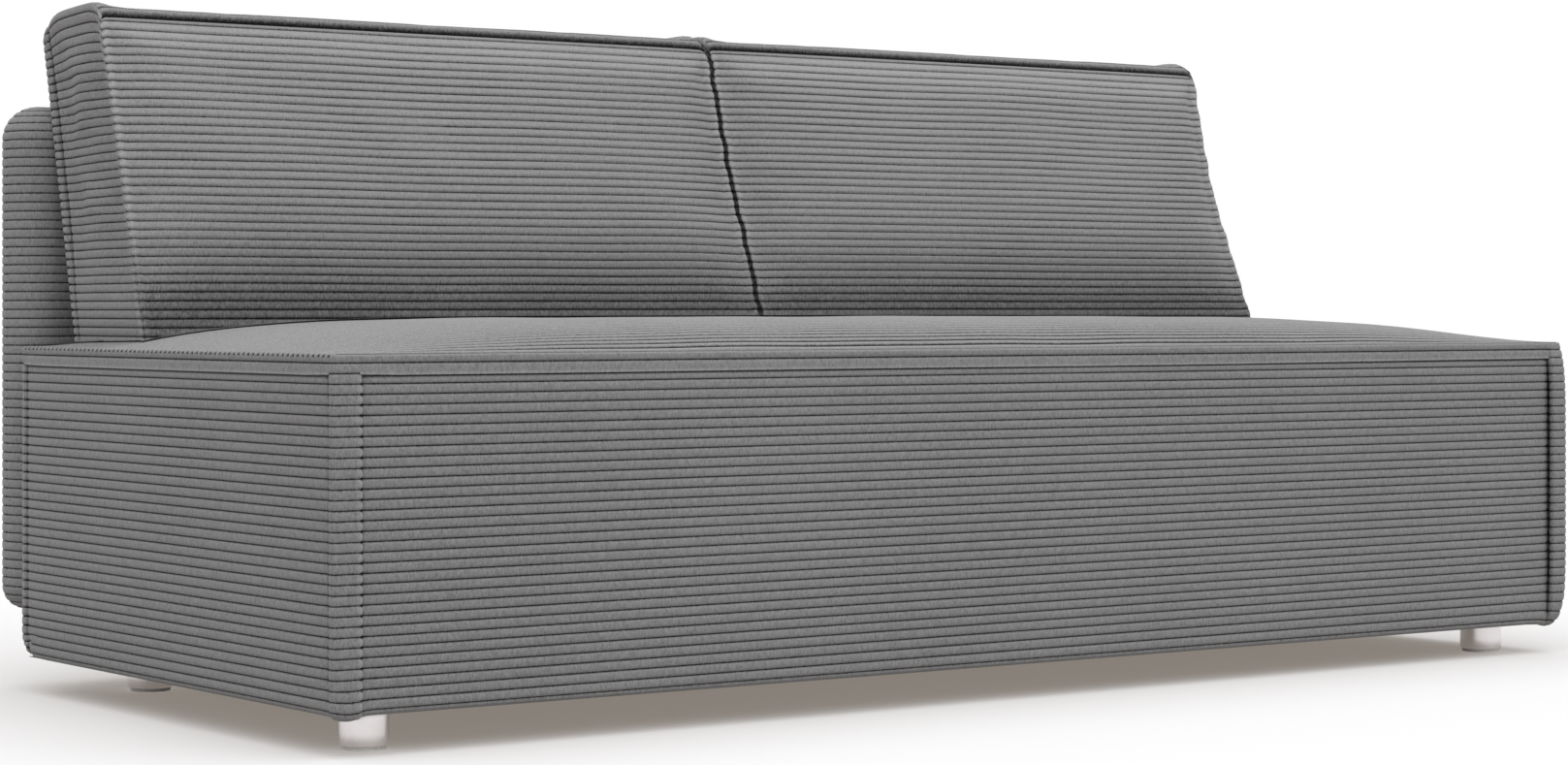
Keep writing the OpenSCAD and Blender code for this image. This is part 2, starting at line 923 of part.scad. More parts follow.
front_rail();
rear_rail();
end_board_left();
end_board_right();
cross_members();
corner_blocks();
seat_springs();
spring_clips();
seat_felt();
seat_foam();
front_pad();
end_pad_left();
end_pad_right();
rear_pads();
seat_cover();
front_cover();
end_cover_left();
end_cover_right();
rear_cover();
underside_cloth();
foot_front_left();
foot_front_right();
foot_rear_left();
foot_rear_right();
foot_glides();
foot_studs();
foot_inserts();
lift_tracks();
track_carriages();
pivot_pins();
pivot_brackets();
bracket_screws();
back_low_rail();
back_top_rail();
back_stiles();
back_sheet();
back_foam();
back_cover();
leg_brackets();
leg_pins();
support_leg();
leg_pads();
cushion_left_fill();
cushion_left_cover();
cushion_left_zip();
cushion_right_fill();
cushion_right_cover();
cushion_right_zip();
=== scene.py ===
# %% [markdown]
# # An armless sofa in wide-ribbed fabric
# The sofa is a padded seat block on four metal feet, a padded back board behind it and two loose boxed
# cushions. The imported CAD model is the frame: it gives the sizes and places, and each piece made here rides
# on one of its bodies, so it moves as the CAD does.

# %% Load the frame
import bmesh
import bpy
import math
import numpy as np
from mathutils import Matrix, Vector
from mathutils.kdtree import KDTree


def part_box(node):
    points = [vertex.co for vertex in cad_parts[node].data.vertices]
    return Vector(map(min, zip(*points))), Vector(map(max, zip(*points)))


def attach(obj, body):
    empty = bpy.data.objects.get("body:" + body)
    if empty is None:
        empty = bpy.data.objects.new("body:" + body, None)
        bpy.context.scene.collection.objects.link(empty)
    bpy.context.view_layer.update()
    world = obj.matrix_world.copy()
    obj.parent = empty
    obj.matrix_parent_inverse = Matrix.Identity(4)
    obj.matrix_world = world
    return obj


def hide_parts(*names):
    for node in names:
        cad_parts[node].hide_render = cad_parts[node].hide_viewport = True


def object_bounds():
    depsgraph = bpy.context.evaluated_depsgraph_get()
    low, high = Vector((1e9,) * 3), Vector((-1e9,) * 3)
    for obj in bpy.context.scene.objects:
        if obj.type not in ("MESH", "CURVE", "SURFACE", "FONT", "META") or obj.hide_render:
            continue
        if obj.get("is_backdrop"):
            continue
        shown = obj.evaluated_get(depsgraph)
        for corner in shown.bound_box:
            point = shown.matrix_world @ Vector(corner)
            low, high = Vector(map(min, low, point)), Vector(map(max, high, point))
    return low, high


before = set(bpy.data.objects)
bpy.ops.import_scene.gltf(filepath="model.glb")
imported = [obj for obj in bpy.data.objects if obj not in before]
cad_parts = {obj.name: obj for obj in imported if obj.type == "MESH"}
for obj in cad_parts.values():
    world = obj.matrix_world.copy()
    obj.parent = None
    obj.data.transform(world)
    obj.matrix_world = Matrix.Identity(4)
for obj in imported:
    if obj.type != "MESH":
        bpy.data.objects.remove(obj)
scene = bpy.context.scene
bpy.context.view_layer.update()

# %% [markdown]
# ## Camera, light and floor
# The photograph is taken a little above seat height and from the left. Such a camera could be found by
# trying, but the ribs of the fabric are level and evenly spaced, so they measure it: it is level, turned 35.6
# degrees, with a long lens. A shift of the lens keeps the horizon high in the picture without tilting the
# camera, so upright edges stay upright.

# %% Camera
camera_turn = math.radians(35.631)
camera = bpy.data.objects.new("photo_camera", bpy.data.cameras.new("photo_camera"))
camera.data.sensor_width = 36
camera.data.lens = 77.78
camera.data.shift_x = 0.0547
camera.data.shift_y = -0.0492
camera.location = (-2.7455, -3.5771, 0.4816)
camera.rotation_euler = (math.pi/2, 0, -camera_turn)
scene.collection.objects.link(camera)
scene.camera = camera
scene.view_settings.view_transform = "Standard"
print("camera is set, turned", round(math.degrees(camera_turn), 3), "degrees")

# %% [markdown]
# Shader maths could be wired node by node, but it reads best as plain sums. A small class wraps one output of
# a node: a sum or a product of two adds a Math node, and one method makes any other node from its type, its
# settings and its inputs.

# %% Shader maths
class Wire:
    """One output of a shader node, which can be added to, multiplied and fed into other nodes."""

    def __init__(self, tree, socket=None):
        self.tree = tree
        self.socket = socket

    def node(self, kind, settings=None, inputs=None, out=0):
        made = self.tree.nodes.new(kind)
        for name, value in (settings or {}).items():
            setattr(made, name, value)
        for name, value in (inputs or {}).items():
            if isinstance(value, Wire):
                self.tree.links.new(value.socket, made.inputs[name])
            else:
                made.inputs[name].default_value = value
        return Wire(self.tree, made.outputs[out])

    def maths(self, operation, a, b):
        return self.node("ShaderNodeMath", {"operation": operation}, {0: a, 1: b})

    def __add__(self, other):
        return self.maths("ADD", self, other)

    def __radd__(self, other):
        return self.maths("ADD", other, self)

    def __sub__(self, other):
        return self.maths("SUBTRACT", self, other)

    def __rsub__(self, other):
        return self.maths("SUBTRACT", other, self)

    def __mul__(self, other):
        return self.maths("MULTIPLY", self, other)

    def __rmul__(self, other):
        return self.maths("MULTIPLY", other, self)

    def clipped(self):
        """This wire, held between 0 and 1."""
        return self.node("ShaderNodeClamp", None, {"Value": self})

    def noise(self, scale, detail):
        """Noise over the places that this wire gives."""
        return self.node("ShaderNodeTexNoise", None, {"Vector": self, "Scale": scale, "Detail": detail})

    def between(self, first, second):
        """A mix of two colours: the first where this wire is 0, the second where it is 1."""
        return self.node("ShaderNodeMix", {"data_type": "RGBA"}, {0: self, 6: first, 7: second}, out=2)


def colour(red, green, blue):
    """A colour as it looks on a screen, from 0 to 255, turned into the linear one that shaders use."""
    shares = [v/255 for v in (red, green, blue)]
    return tuple(v/12.92 if v < 0.04045 else ((v + 0.055)/1.055)**2.4 for v in shares) + (1.0,)


def new_material(name):
    """An empty material and a wire to start its nodes from."""
    material = bpy.data.materials.new(name)
    material.use_nodes = True
    material.node_tree.nodes.clear()
    return material, Wire(material.node_tree)


def end_with(shader, kind="ShaderNodeOutputMaterial"):
    """Ends a node tree: the shader goes into an output node of this kind."""
    end = shader.tree.nodes.new(kind)
    shader.tree.links.new(shader.socket, end.inputs["Surface"])


def seen_share(start):
    """1 for what the camera sees, also by way of gloss and glass, and 0 for light that bounces about."""
    direct, glossy, through = (start.node("ShaderNodeLightPath", out=name)
                               for name in ("Is Camera Ray", "Is Glossy Ray", "Is Transmission Ray"))
    return (direct + glossy + through).clipped()


# %% [markdown]
# The sofa stands in a plain white studio. Lamps could stand round it, but each would leave its own bright
# spot on the floor. So the light is an even pale world and one soft sun from above and in front: a sun lights
# the whole floor evenly, and only the sofa's shadow is darker. The camera sees the world as pure white, while
# the light it gives is lower.

# %% World and sun
studio_level = 0.56
sun_strength = 2.1
sun_spread = math.radians(100)
sun_way = Vector((0.08, 0.32, -1.0))

world = bpy.data.worlds.new("studio")
scene.world = world
world.use_nodes = True
world.node_tree.nodes.clear()
sky = Wire(world.node_tree)
sky_level = studio_level + seen_share(sky)*(1 - studio_level)
end_with(sky.node("ShaderNodeBackground", None, {"Color": (1, 1, 1, 1), "Strength": sky_level}),
         "ShaderNodeOutputWorld")

sun = bpy.data.objects.new("studio_sun", bpy.data.lights.new("studio_sun", "SUN"))
sun.data.energy = sun_strength
sun.data.angle = sun_spread
sun.rotation_euler = sun_way.to_track_quat("-Z", "Y").to_euler()
scene.collection.objects.link(sun)
print("world and sun are set")

# %% [markdown]
# The floor is a plain sheet. It is a little brighter to the camera than to the sofa, so it is white without
# lighting the sofa's underside too much. A warm share of its own light lifts the shadow, which is warm in the
# photograph.

# %% Floor
floor_reach = 40.0
floor_seen = colour(240, 243, 247)
floor_bounced = colour(176, 172, 168)
glow_colour = (1.0, 0.88, 0.77, 1)
glow_share = 0.24

floor_mesh = bpy.data.meshes.new("floor")
floor_mesh.from_pydata([(x*floor_reach, y*floor_reach, 0) for x, y in ((-1, -1), (1, -1), (1, 1), (-1, 1))],
                       [], [(0, 1, 2, 3)])
floor = bpy.data.objects.new("floor", floor_mesh)
scene.collection.objects.link(floor)
floor_material, paint = new_material("floor_paint")
eye = seen_share(paint)
glow = paint.node("ShaderNodeEmission", None, {"Color": glow_colour, "Strength": 1.0})
lit = paint.node("ShaderNodeBsdfDiffuse", None, {"Color": eye.between(floor_bounced, floor_seen)})
end_with(paint.node("ShaderNodeMixShader", None, {0: eye*glow_share, 1: lit, 2: glow}))
floor_mesh.materials.append(floor_material)
floor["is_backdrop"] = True
print("floor is set")

# %% [markdown]
# ## Ribbed fabric
# The cover is a corduroy with ribs 11.2 mm apart, laid level on every upright face. A bump could draw them,
# but ribs that wide show on the outline and catch the light, so they are real mesh. Each surface is a grid:
# rows crowd at the narrow grooves, and the columns along the ribs are few. A value kept at every point,
# called rib, is 0 in the groove and 1 on the ridge, and the fabric's colour reads it. A painted light factor
# scales it: under 1 it paints shade in folds, seams and gaps, over 1 it paints highlights.

# %% Rows and ridges
wale = 0.0112  # from one groove to the next
rib_depth = 0.0024  # of the grooves on panels and cushions
low_depth = 0.0016  # of the grooves on the strips and the back board
top_depth = 0.0026  # of the grooves on the seat's top
first_groove = 0.0508  # height of one groove on the block
fabric_gap = 0.0015  # kept between two pieces of fabric that lie on each other
rib_steps = np.array([0, 0.07, 0.2, 0.4, 0.6, 0.8, 0.93])


def rib_rows(low, high, first=first_groove):
    """Places across the ribs from low to high, a few to each rib and crowded at its groove."""
    count = np.arange(math.floor((low - first)/wale), math.ceil((high - first)/wale) + 1)
    rows = (first + wale*(count[:, None] + rib_steps)).ravel()
    edge = wale*0.05
    return np.concatenate([[low], rows[(rows > low + edge) & (rows < high - edge)], [high]])


def rib_shape(across, first=first_groove, flatness=5.0):
    """0 in a groove, 1 on a ridge: a flat round ridge with a narrow groove beside it."""
    return 1 - np.abs(2*(((across - first)/wale) % 1) - 1)**flatness


def steps(low, high, size):
    """Evenly spaced places from low to high, about size apart."""
    return np.linspace(low, high, max(2, int(round((high - low)/size)) + 1))


def bump_at(distance, place, width):
    """1 at one place, falling to 0 on both sides."""
    return np.exp(-((distance - place)/width)**2)


def ripple(a, b, seed, size):
    """A smooth irregular wave between -1 and 1 over a surface, the same on every run."""
    rng = np.random.default_rng(seed)
    total = 0
    for _ in range(5):
        ka, kb = rng.normal(0, 1/size, 2)
        total = total + np.sin(ka*a + kb*b + rng.uniform(0, 2*math.pi))
    return total/5


# %% [markdown]
# One helper turns a grid of points into fabric: it works out which way the surface faces from the grid itself
# and sinks the grooves along that direction, so the ridges stay at the CAD's surface. A Displace modifier
# could do it too, but it needs fine mesh everywhere, also along the ribs.

# %% Grids into fabric
def facing(points):
    """The outward direction at every point of a grid whose rows run across the ribs."""
    along = np.gradient(points, axis=1)
    across = np.gradient(points, axis=0)
    normal = np.cross(along, across)
    length = np.linalg.norm(normal, axis=-1, keepdims=True)
    return normal/np.maximum(length, 1e-12)


class Cloth:
    """Collects grids of fabric and makes one object of them."""

    def __init__(self):
        self.points, self.faces, self.ribs = [], [], []
        self.count = 0

    def add(self, points, ribs=1.0, skip=None):
        """Adds a grid. skip says, for each face of it, whether it is left out."""
        rows, columns = points.shape[:2]
        index = self.count + np.arange(rows*columns).reshape(rows, columns)
        quads = np.stack([index[:-1, :-1], index[:-1, 1:], index[1:, 1:], index[1:, :-1]], axis=-1)
        if skip is not None:
            quads = quads[~skip]
        self.points.append(points.reshape(-1, 3))
        self.faces.append(quads.reshape(-1, 4))
        self.ribs.append(np.broadcast_to(ribs, (rows, columns)).ravel())
        self.count += rows*columns

    def add_ribbed(self, points, across, first=first_groove, depth=rib_depth, strength=1.0, flatness=5.0,
                   painted_light=1.0, skip=None):
        """Adds a grid with ribs sunk into it. across gives the place across the ribs, by row or by point."""
        if across.ndim == 1:
            across = across[:, None]
        ridge = 1 - (1 - rib_shape(across, first, flatness))*strength
        # painted_light scales the rib value that the colour reads: under 1 it paints shade, over 1 a highlight
        self.add(points + facing(points)*((ridge - 1)*depth)[..., None], ridge*painted_light, skip)

    def build(self, name, material):
        mesh = bpy.data.meshes.new(name)
        mesh.from_pydata(np.concatenate(self.points).tolist(), [], np.concatenate(self.faces).tolist())
        mesh.attributes.new("rib", "FLOAT", "POINT").data.foreach_set(
            "value", np.concatenate(self.ribs).astype(np.float32))
        mesh.polygons.foreach_set("use_smooth", [True]*len(mesh.polygons))
        if material:
            mesh.materials.append(material)
        piece = bpy.data.objects.new(name, mesh)
        scene.collection.objects.link(piece)
        print(name, len(mesh.polygons), "faces")
        return piece


# %% [markdown]
# The fabric's finish is a mid grey nap, darker in the grooves, partly because the pile is short there and
# partly as painted shade where light doesn't reach, with a fine speckle from the pile, soft brushed patches
# and a faint sheen. Single hairs would be far too many, so the pile is noise in the colour and a small bump.
# Where rib is over 1 the colour turns towards a painted highlight colour: beside seams, on the seat's top and
# on the cushions' upper faces. Where rib is pulled low it turns towards the groove's dark grey, which then
# paints shade in folds, seams and gaps.

# %% Fabric material
def fabric_material(name, ridge_colour, groove_and_shade_colour, painted_highlight_colour):
    material, cloth = new_material(name)
    rib = cloth.node("ShaderNodeAttribute", {"attribute_name": "rib"}, out="Fac")
    place = cloth.node("ShaderNodeTexCoord", out="Object")
    lying = cloth.node("ShaderNodeMapping", None, {"Vector": place, "Scale": (1, 1, 0.4)})
    pile, tufts, brushed = lying.noise(900, 3), lying.noise(420, 2), place.noise(3.5, 3)
    open_rib = (rib*1.6 - 0.22 + (tufts - 0.5)*0.6).clipped()
    nap = (pile - 0.5)*0.9 + (tufts - 0.5)*0.65
    ridge = open_rib*0.84 + nap*(rib*0.6 + 0.4) + (brushed - 0.5)*0.16
    shade = ridge.clipped().between(groove_and_shade_colour, ridge_colour)
    # painted highlight: where rib is over 1 the colour turns towards a lighter grey
    shade = (rib - 1).clipped().between(shade, painted_highlight_colour)
    height = pile*0.6 + tufts*0.4
    bump = cloth.node("ShaderNodeBump", None, {"Height": height, "Strength": 0.35, "Distance": 0.0012})
    skin = cloth.node("ShaderNodeBsdfPrincipled", None, {
        "Base Color": shade, "Roughness": 0.95, "Specular IOR Level": 0.12, "Normal": bump,
        "Sheen Weight": 0.25, "Sheen Roughness": 0.45, "Sheen Tint": (0.75, 0.75, 0.76, 1)})
    end_with(skin)
    return material


fabric = fabric_material("ribbed_fabric_grey", ridge_colour=colour(149, 149, 150),
                         groove_and_shade_colour=colour(30, 30, 31), painted_highlight_colour=colour(205, 205, 206))
print("fabric is made")

# %% [markdown]
# ## The seat block
# The block is one padded box. Its top cover turns down over all sides as a band two ribs high and runs down
# the four upright corners as strips, and flat panels are sewn into the windows between them, lying a little
# deeper. One rounded box with lines drawn on it would lose these steps, so cover and panels are pieces of
# their own.

# %% Sizes of the block
def box(name):
    """The lowest and the highest corner of a CAD node."""
    return [np.array(corner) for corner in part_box(name)]


seat_low, seat_high = box("seat_cover")
left, front, under = seat_low
right, rear = seat_high[:2]
middle_y = (front + rear)/2
strip = 0.032  # how far a strip reaches from its corner
rear_strip = 0.010
tucked = 0.010  # of the front left strip, on the left end
right_strip = 0.022
rear_round = 0.034  # of the lower rear edge
edge_r = 0.0045  # of the round below the top
hem_r = 0.010  # of the round under the panels
fold_r = 0.0030  # of the strips' folded edges
seam_depth = 0.0085
crown = 0.036
band_h = 0.0225
band_fold = 0.0022  # of the round under the band
panel_lap = 0.005  # of a panel under the strips and the band
rim_z = seat_high[2] - crown - edge_r
seam_z = rim_z + edge_r - band_h
print("block", left, right, front, rear, "seam at", round(seam_z, 4))

# %% [markdown]
# All upright faces are made alike. A path gives the columns of a grid, the ribs give its rows, and a profile
# says how far each row is drawn in, so that edges are small rounds and the foot turns under. Extruding a
# curve would be quicker, but then the rows wouldn't follow the ribs.

# %% Upright walls that follow a path
def right_of(way):
    """The direction to the right of a way, which is outwards where the block lies on its left."""
    return np.array([way[1], -way[0]], float)


def folded_edge(edge, way, outward, fold):
    """Three points that turn the edge of a strip in, from its face inwards."""
    return [edge + way*fold*0.7 - outward*fold*0.3, edge + way*fold - outward*fold,
            edge + way*fold - outward*seam_depth]


def corner_path(corner, before, after, run_in, run_out, radius, fold=fold_r):
    """Points and outward directions along a path that turns left round an upright corner."""
    corner, before, after = (np.array(v, float) for v in (corner, before, after))
    out_before, out_after = right_of(before), right_of(after)
    points, outward = [], []
    if fold:
        points += folded_edge(corner - before*run_in, -before, out_before, fold)[::-1]
        outward += [out_before]*3
    for d in np.linspace(run_in, radius, 6):
        points.append(corner - before*d)
        outward.append(out_before)
    for angle in np.linspace(0, math.pi/2, 7)[1:-1]:
        direction = out_before*math.cos(angle) + out_after*math.sin(angle)
        points.append(corner - before*radius + after*radius + direction*radius)
        outward.append(direction)
    for d in np.linspace(radius, run_out, 6):
        points.append(corner + after*d)
        outward.append(out_after)
    if fold:
        points += folded_edge(corner + after*run_out, after, out_after, fold)
        outward += [out_after]*3
    return np.array(points), np.array(outward)


def straight_path(start, end, size, lap=0.0):
    """Points and outward directions along a straight path that goes on by lap at both ends."""
    start, end = np.array(start, float), np.array(end, float)
    way = (end - start)/np.linalg.norm(end - start)
    start, end = start - way*lap, end + way*lap
    share = steps(0, 1, size/np.linalg.norm(end - start))
    points = start + share[:, None]*(end - start)
    return points, np.broadcast_to(right_of(way), points.shape)


def hem_profile(radius, drop):
    """How a wall at height t is drawn in and how high it really is: it rounds under at its foot."""
    foot = under - drop + radius

    def profile(t):
        angle = np.clip((foot - t)/radius, 0, math.pi/2)
        return radius*(1 - np.cos(angle)), np.where(t < foot, foot - radius*np.sin(angle), t)
    return profile, foot - radius*math.pi/2


def wall(path, rows, profile, proud=0.0):
    """A grid that stands on a path. proud moves it outwards, for each row and column."""
    points, outward = path
    draw, height = profile(rows)
    shift = np.broadcast_to(proud, (len(rows), points.shape[-2])) - draw[:, None]
    flat = points + outward*shift[..., None]
    return np.concatenate([flat, np.broadcast_to(height[:, None, None], shift.shape + (1,))], axis=-1)


hem, hem_low = hem_profile(hem_r, 0)
hang_height, hang_reach, hang_right = 0.06, 0.08, 0.005
corner_hangs = ((left + 0.020, 0.0045, 0.017), (right - 0.008, 0.0060, 0.026))  # place, drop and reach


def settle(points):
    """Rounds the block's lower rear edge and lets the fabric along its lower front edge hang.

    The round comes about as a square grows into a disc. The front edge hangs lower towards the right, and a
    little more at both corners."""
    away = np.stack([rear_round - (rear - points[..., 1]), rear_round - (points[..., 2] - under)], axis=-1)
    inside = np.clip(away, 0, None)
    length = np.linalg.norm(inside, axis=-1)
    scale = np.where(length > 1e-9, inside.max(axis=-1)/np.maximum(length, 1e-9), 1) - 1
    both = inside.min(axis=-1) > 0
    points[..., 1] += np.where(both, inside[..., 0]*scale, 0)
    points[..., 2] -= np.where(both, inside[..., 1]*scale, 0)
    low = np.clip(1 - (points[..., 2] - under)/hang_height, 0, 1)**2
    near_front = np.clip(1 - (points[..., 1] - front)/hang_reach, 0, 1)
    points[..., 2] -= hang_right*low*near_front*(points[..., 0] - left)/(right - left)
    for x, hang, reach in corner_hangs:
        away = np.hypot(points[..., 0] - x, points[..., 1] - front - 0.004)
        points[..., 2] -= hang*np.exp(-(away/reach)**2)*low
    return points


# %% [markdown]
# The top of the block is crowned: it rises quickly over its front edge, where the photograph shows the ribs
# one by one, and is nearly flat further in, as foam under a tight cover is. A formula gives its height at any
# place, because the cushions that rest on it need that too. Its ribs run from end to end.

# %% The crowned top
def seat_rise(x, y):
    """The top's height over its edge."""
    u = np.clip(np.abs(x)/(right - edge_r), 0, 1)
    v = np.clip(np.abs(y - middle_y)/(rear - middle_y - edge_r), 0, 1)
    return crown*(1 - u**6)*(1 - v**(3.6 + 2.4*(1 - u**2)))


def seat_surface(x, y):
    """The height of the top over the floor."""
    return rim_z + edge_r + seat_rise(x, y)


top_cover = Cloth()
arc = np.linspace(0, math.pi/2, 6)
top_start = rim_z + edge_r*math.pi/2
rows = rib_rows(top_start, top_start + (rear - front - 2*edge_r))
top_y = front + edge_r + rows - top_start
round_in, round_down = edge_r*(1 - np.cos(arc[:-1])), edge_r*(1 - np.sin(arc[:-1]))
flat_x = steps(left + edge_r, right - edge_r, 0.03)
top_x = np.concatenate([left + round_in, flat_x, (right - round_in)[::-1]])
top_drop = np.concatenate([round_down, np.zeros(len(flat_x)), round_down[::-1]])
gx, gy = np.meshgrid(top_x, top_y)
unevenness = 0.0012*ripple(gx, gy, 3, 0.11)*(1 - (np.abs(gx)/right)**6)
top = np.stack([gx, gy, seat_surface(gx, gy) - top_drop[None] + unevenness], axis=-1)
# painted highlight: a light factor of 1.25 paints the whole top lighter, as the light from above falls on it
top_cover.add_ribbed(top, rows, depth=top_depth, strength=1.3, flatness=1.6, painted_light=1.25)

# %% [markdown]
# Under the top's edge come the band, the four corner strips and the small rounds between them. A strip's ribs
# puff out beside its seam, and its corner is rounder at the foot than higher up, so every row of a strip gets
# a path of its own.

# %% Band, strips and corners
def edge_profile(t):
    """The round from the upright side to the top."""
    angle = np.clip((t - rim_z)/edge_r, 0, math.pi/2)
    return edge_r*(1 - np.cos(angle)), np.where(t > rim_z, rim_z + edge_r*np.sin(angle), t)


# each corner: its place, the ways before and after it, how far the strip runs each way, how proud it stands,
# how much its ribs puff out at each seam, and its round at the foot
corners = [((left, front), (0, -1), (1, 0), tucked, strip, 0.0006, (0, 1), 0.0095),
           ((right, front), (1, 0), (0, 1), right_strip, strip, 0.0085, (0, 0), 0.018),
           ((right, rear), (0, 1), (-1, 0), rear_strip, strip, 0.0, (0.5, 0), 0.0095),
           ((left, rear), (-1, 0), (0, -1), strip, rear_strip, 0.0, (0, 0.5), 0.0095)]
puff_place = seam_depth + 0.002
puff_out, puff_along, puff_width = 0.0020, 0.0030, 0.003
quarter = np.linspace(0, math.pi/2, 7)
for corner, before, after, run_in, run_out, proud, puffs, foot_r in corners:
    strip_hem, strip_low = hem_profile(foot_r, 0.0005)
    strip_rows = rib_rows(strip_low, rim_z)
    nearing = np.clip((strip_low + foot_r*3 - strip_rows)/(foot_r*3), 0, 1)
    radii = edge_r + (foot_r - edge_r + 0.0004)*nearing**2*(3 - 2*nearing)
    turned = [corner_path(corner, before, after, run_in, run_out, r) for r in radii]
    path = [np.stack(part) for part in zip(*turned)]
    share = np.clip((strip_rows - under)/(rim_z - under), 0, 1)
    bulge = proud*(1 - np.abs(2*share - 1)**7)
    run = np.concatenate([[0], np.cumsum(np.linalg.norm(np.diff(turned[-1][0], axis=0), axis=1))])
    below_band = np.clip((seam_z - strip_rows)/0.01, 0, 1)[:, None]
    offs = (run, run[-1] - run)
    edge = below_band*sum(puff*bump_at(off, puff_place, puff_width) for puff, off in zip(puffs, offs))
    points = wall(path, strip_rows, strip_hem, bulge[:, None] + puff_out*edge)
    sway = below_band*puff_along*(rib_shape(strip_rows)[:, None] - 0.7)
    for puff, off, way in zip(puffs, offs, (-np.array(before), np.array(after))):
        reach = puff*np.clip(1 - (off - puff_place)/0.004, 0, 1)
        points[..., :2] += (sway*reach)[..., None]*way
    # painted light: the ribs that puff out beside a seam are painted lighter, as a highlight, and the folded
    # edges dark, as painted shade
    fold_shade = np.where(np.minimum(*offs) < fold_r, 0.25, 1)
    top_cover.add_ribbed(settle(points), strip_rows, depth=low_depth, painted_light=(1 + 0.3*edge)*fold_shade)
    centre = np.array(corner) - np.array(before)*edge_r + np.array(after)*edge_r
    out_before, out_after = right_of(before), right_of(after)
    turn, rise = np.meshgrid(quarter, quarter)
    ball = np.stack([centre[i] + edge_r*np.cos(rise)*(out_before[i]*np.cos(turn) + out_after[i]*np.sin(turn))
                     for i in (0, 1)] + [rim_z + edge_r*np.sin(rise)], axis=-1)
    top_cover.add(ball, 0.8)

# %% [markdown]
# The band's lower edge is folded in along each window. In the photograph it wanders by a millimetre or two,
# as a lapped seam does, so the rows beside the fold follow a smooth wave.

# %% The band along the four windows
band_wander, band_wave = 0.0024, 0.16  # how far the folded edge wanders, and the length of its waves
fold_reach = 0.014  # how far up the band that is felt
sides = [((left + strip, front), (right - right_strip, front)),
         ((right, front + strip), (right, rear - rear_strip)),
         ((right - strip, rear), (left + strip, rear)),
         ((left, rear - rear_strip), (left, front + tucked))]


def band_profile(t):
    """The band's lower edge folds under and in, towards the panel."""
    angle = np.clip((seam_z - t)/band_fold, 0, math.pi/2)
    beyond = np.clip(seam_z - t - band_fold*math.pi/2, 0, 1)
    return band_fold*(1 - np.cos(angle)) + beyond, np.where(t < seam_z, seam_z - band_fold*np.sin(angle), t)


fold_low = seam_z - band_fold*math.pi/2 - (seam_depth - band_fold)
band_rows = np.concatenate([[fold_low], seam_z - band_fold*np.array([1.55, 1.1, 0.6, 0.3]),
                            rib_rows(seam_z, rim_z)])
for start, end in sides:
    path = straight_path(start, end, 0.025)
    points = wall(path, band_rows, band_profile)
    length = np.linalg.norm(path[0] - path[0][0], axis=1)
    ends = np.minimum(length, length[-1] - length)
    wander = band_wander*ripple(length, 0*length, 7, band_wave)*np.clip(ends/0.05, 0, 1)
    nearness = np.clip(1 - (band_rows - seam_z)/fold_reach, 0, 1)
    points[..., 2] += wander[None]*nearness[:, None]
    lip = band_rows - seam_z
    # painted light: the rows of the fold under the band are painted dark, as painted shade in the crease, and a
    # lip just above it lighter, as a painted highlight
    painted_light = np.where(lip < -0.0004, 0.1, 1 + 0.2*bump_at(lip, 0.0010, 0.0010))
    top_cover.add_ribbed(points, band_rows, strength=(lip > 0.004)[:, None]*1.0, painted_light=painted_light[:, None])

edge_rows = rib_rows(rim_z, top_start)
long_edges = (((left + edge_r, front), (right - edge_r, front)),
              ((right - edge_r, rear), (left + edge_r, rear)))
for start, end in long_edges:
    points = wall(straight_path(start, end, 0.03), edge_rows, edge_profile)
    top_cover.add_ribbed(points, edge_rows)

seat_top = top_cover.build("seat_top_cover", fabric)
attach(seat_top, "seat_base")
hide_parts("seat_cover", "seat_foam")

# %% [markdown]
# The panels lie in the windows. Each is padded: a few millimetres deep at its seams and almost level with the
# strips a few centimetres away. A formula for that dip is enough, as no filling bulges here. The folds beside
# the seams and a line just under the band are painted dark, as painted shade where little light gets in.

# %% Panels
panel_near = np.array([0.004, 0.006, 0.0075, 0.009, 0.0105, 0.013, 0.018])
pull_reach = 0.012  # how far the pull of an upright seam is seen
band_dip, band_dip_reach = 0.0050, 0.006  # of the pull of the band's seam
panel_wave, panel_wave_size = 0.0008, 0.09
fold_fade_from, fold_fade_over = 0.012, 0.030  # over the panel's foot, where the dark folds begin


